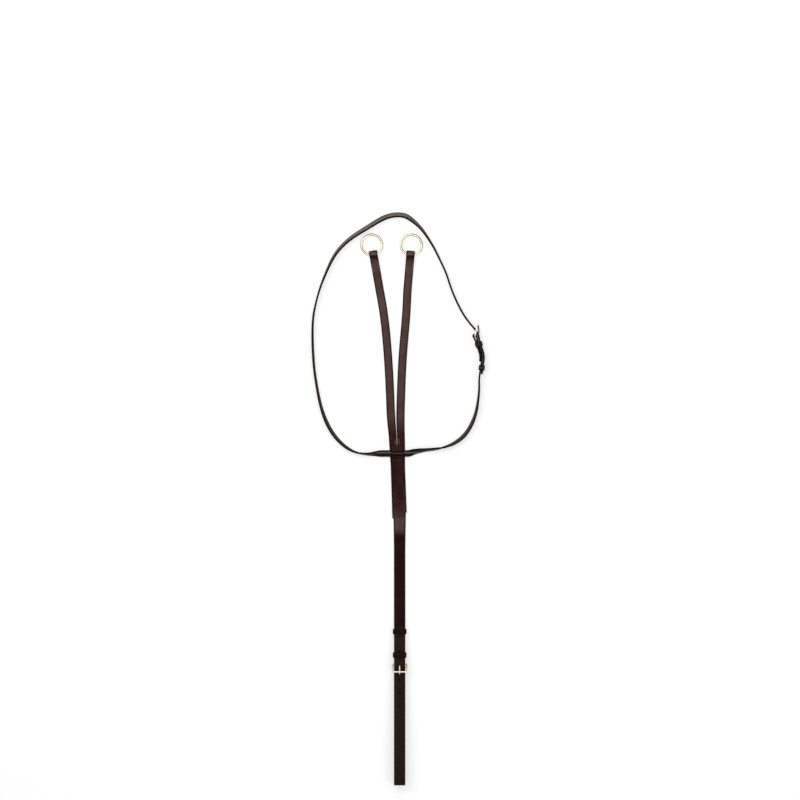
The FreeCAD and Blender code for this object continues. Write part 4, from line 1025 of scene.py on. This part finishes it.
def add_stitch(bm, centre, along, up):
    """One stitch: a short round of thread that dips into the leather at both ends."""
    length, width, height = STITCH_SIZE
    across = along.cross(up)
    rings = []
    for i in range(7):
        t = -1 + 2 * i / 6
        thin = math.sqrt(max(0.04, 1 - t * t))
        place = centre + along * (t * length / 2) + up * (height * 0.35 * (1 - t * t))
        rings.append([bm.verts.new((place + (across * x * width + up * y * height) * thin) * MM)
                      for x, y in circle_points(0.5, 8)])
    join_rings(bm, rings)
    cap_ends(bm, rings)


def build_stitches(node, body, material):
    """A round of thread in the place of each of the node's solids, its middle on the outer side."""
    bm = bmesh.new()
    outer = -outward(heading_vector(NECK_HEADING)) if node == "neck_buckle_stitching" else UP
    for corners in loose_blocks(frame["nodes"][node]):
        centre = sum(corners, Vector()) / len(corners)
        spread = np.array([tuple(c - centre) for c in corners])
        axes = np.linalg.svd(spread, full_matrices=False)[2]
        along, up = Vector(axes[0]), Vector(axes[2])
        add_stitch(bm, centre / MM, along, up if up.dot(outer) > 0 else -up)
    dress(finished(bm, node + "_thread", [material]), body, "thread", node)


def loose_blocks(node):
    """Corner points of each separate block in a node's mesh."""
    mesh = node.data
    keys = [tuple(round(c, 7) for c in vertex.co) for vertex in mesh.vertices]
    parent = {key: key for key in keys}

    def root(key):
        while parent[key] != key:
            key = parent[key]
        return key

    for edge in mesh.edges:
        first, second = (root(keys[i]) for i in edge.vertices)
        parent[first] = second
    groups = {}
    for vertex, key in zip(mesh.vertices, keys):
        groups.setdefault(root(key), {})[key] = node.matrix_world @ vertex.co
    return [list(group.values()) for group in groups.values()]


# ---------------- stage

def white_floor():
    """Pale floor that shows white to the camera and in reflections, and keeps a soft shadow."""
    material = bpy.data.materials.new("floor_white")
    tree = Nodes(material)
    pale = tree.add("ShaderNodeBsdfDiffuse", {"Color": (FLOOR_TONE, FLOOR_TONE, FLOOR_TONE, 1)})
    strength = tree.math("MULTIPLY", tree.background_rays(), FLOOR_GLOW)
    glow = tree.add("ShaderNodeEmission", {"Color": (1, 1, 1, 1), "Strength": strength})
    both = tree.add("ShaderNodeAddShader", {0: pale.outputs[0], 1: glow.outputs[0]})
    tree.add("ShaderNodeOutputMaterial", {"Surface": both.outputs[0]})
    bpy.ops.mesh.primitive_plane_add(size=40, location=(0, 0, -0.0002))
    floor = bpy.context.object
    floor.name = "floor"
    floor.data.materials.append(material)


def white_world():
    """White behind everything, and a dimmer even light on the straps."""
    world = bpy.data.worlds.new("studio")
    bpy.context.scene.world = world
    tree = Nodes(world)
    seen = tree.add("ShaderNodeBackground", {"Strength": 1})
    light = tree.add("ShaderNodeBackground", {"Strength": WORLD_LIGHT})
    mix = tree.add("ShaderNodeMixShader", {0: tree.background_rays(), 1: light.outputs[0],
                                           2: seen.outputs[0]})
    tree.add("ShaderNodeOutputWorld", {"Surface": mix.outputs[0]})


def softbox(name, place, target, size, power):
    data = bpy.data.lights.new(name, "AREA")
    data.shape = "RECTANGLE"
    data.size, data.size_y = size
    data.energy = power
    light = bpy.data.objects.new(name, data)
    light.location = place
    light.rotation_euler = (Vector(target) - Vector(place)).to_track_quat("-Z", "Y").to_euler()
    bpy.context.collection.objects.link(light)


def top_camera():
    """Looks straight down on the flat-laid straps from far above."""
    data = bpy.data.cameras.new("camera")
    camera = bpy.data.objects.new("camera", data)
    data.lens = data.sensor_width * CAMERA_PLACE[2] / CAMERA_VIEW_WIDTH
    data.clip_end = 60.0
    camera.location = CAMERA_PLACE
    bpy.context.collection.objects.link(camera)
    bpy.context.scene.camera = camera


def build_materials():
    """Skins of grain, edge and flesh for each leather, two finishes of brass and two threads."""
    backs = [cut_edge("fork_edge", (0.004, 0.002, 0.002), (0.013, 0.0055, 0.005)),
             flesh_side("fork_flesh", (0.016, 0.008, 0.006), (0.034, 0.017, 0.012))]
    dyes_and_painted_light = [
        ("fork_grain", (0.018, 0.004, 0.003), (0.03, 0.0075, 0.0058), (0.048, 0.015, 0.012), FORK_PAINTED_LIGHT),
        ("girth_grain", (0.01, 0.0024, 0.002), (0.018, 0.0044, 0.0036), (0.03, 0.009, 0.0075), FORK_PAINTED_LIGHT),
        ("loop_grain", (0.016, 0.0038, 0.0028), (0.026, 0.0068, 0.0052), (0.04, 0.013, 0.01), LOOP_PAINTED_LIGHT)]
    fork, girth, loop = ([leather(*dye, 0.36, 0.05, painted_light)] + backs for *dye, painted_light in dyes_and_painted_light)
    neck = [leather("neck_grain", (0.016, 0.0085, 0.0045), (0.025, 0.0135, 0.0075),
                    (0.038, 0.022, 0.013), 0.38, 0.09, NECK_PAINTED_LIGHT),
            cut_edge("neck_edge", (0.0045, 0.0028, 0.0016), (0.012, 0.0072, 0.0042)),
            flesh_side("neck_flesh", (0.04, 0.029, 0.02), (0.09, 0.067, 0.047))]
    polished = brass("brass_polished", (0.6, 0.51, 0.35), (0.75, 0.67, 0.52), (0.83, 0.77, 0.63), 0.16)
    dulled = brass("brass_dulled", (0.03, 0.024, 0.014), (0.07, 0.055, 0.035), (0.15, 0.12, 0.08), 0.24)
    tan = thread("tan_thread", (0.26, 0.15, 0.08), (0.44, 0.28, 0.16))
    dyed = thread("dyed_thread", (0.045, 0.02, 0.014), (0.095, 0.048, 0.032))
    return fork, girth, loop, neck, polished, dulled, tan, dyed


def build_keepers(girth, neck):
    """Heights are measured from each buckle's bar, along its strap's normal."""
    outer = BILLET_OFFSET + NECK_THICK / 2 + KEEPER_PLAY
    inner = NECK_FOLD_THICK - NECK_THICK
    floor = -CHAPE_RADIUS - GIRTH_THICK
    over = -CHAPE_RADIUS + LAYER_GAP + GIRTH_THICK + KEEPER_PLAY
    neck_round = "neck_leather", neck_axes, NECK_WIDTH, neck
    girth_round = "fork_leather", girth_axes, GIRTH_WIDTH, girth
    for node, body, low, high, (slot, axes, width, skins) in (
            ("neck_fixed_keeper", "neck", -NECK_FOLD_THICK, outer, neck_round),
            ("neck_running_keeper", "neck_runner", inner - KEEPER_PLAY, outer, neck_round),
            ("girth_fixed_keeper", "fork", floor, over + 2 * CHAPE_THICK, girth_round),
            ("girth_running_keeper", "girth_runner", floor - KEEPER_PLAY, over, girth_round)):
        place = axes(FIXED_KEEPER_AT if "fixed" in node else RUNNING_KEEPER_AT)
        build_keeper(node, body, slot, place, width, low, high, skins)


def light_stage():
    white_floor()
    white_world()
    softbox("sheen", (-0.03, 0.33, 0.9), (-0.03, 0.33, 0), (0.36, 0.3), 1.3)
    softbox("left", (-1.7, 1.3, 2.4), (0, 0, 0), (1.5, 1.5), 22)
    softbox("right", (1.7, -1.3, 2.4), (0, 0, 0), (1.5, 1.5), 14)
    softbox("far", (-0.25, 1.8, 0.25), (-0.05, 0.42, 0), (1.6, 0.45), 14)
    top_camera()
    bpy.context.scene.view_settings.view_transform = "Standard"


def main():
    fork, girth, loop, neck, polished, dulled, tan, dyed = build_materials()
    build_fork(fork)
    build_neck(neck)
    build_girth(girth)
    build_chape(girth)
    build_neck_loop(loop)
    build_keepers(girth, neck)
    build_ring("left_ring", LEFT_LEAN, polished)
    build_ring("right_ring", RIGHT_LEAN, polished)
    build_frame("neck_buckle_frame", "neck_frame", neck_axes(), NECK_WIDTH, polished)
    build_tongue("neck_buckle_tongue", "neck_tongue", neck_axes(), dulled)
    build_frame("girth_buckle_frame", "girth_frame", girth_axes(), GIRTH_WIDTH, polished)
    build_tongue("girth_buckle_tongue", "girth_tongue", girth_axes(), polished)
    for body, nodes in frame["record"]["behaviour"]["bodies"].items():
        for node in nodes:
            if node.endswith("stitching"):
                build_stitches(node, body, dyed if node in DARK_STITCHING else tan)
    light_stage()


main()
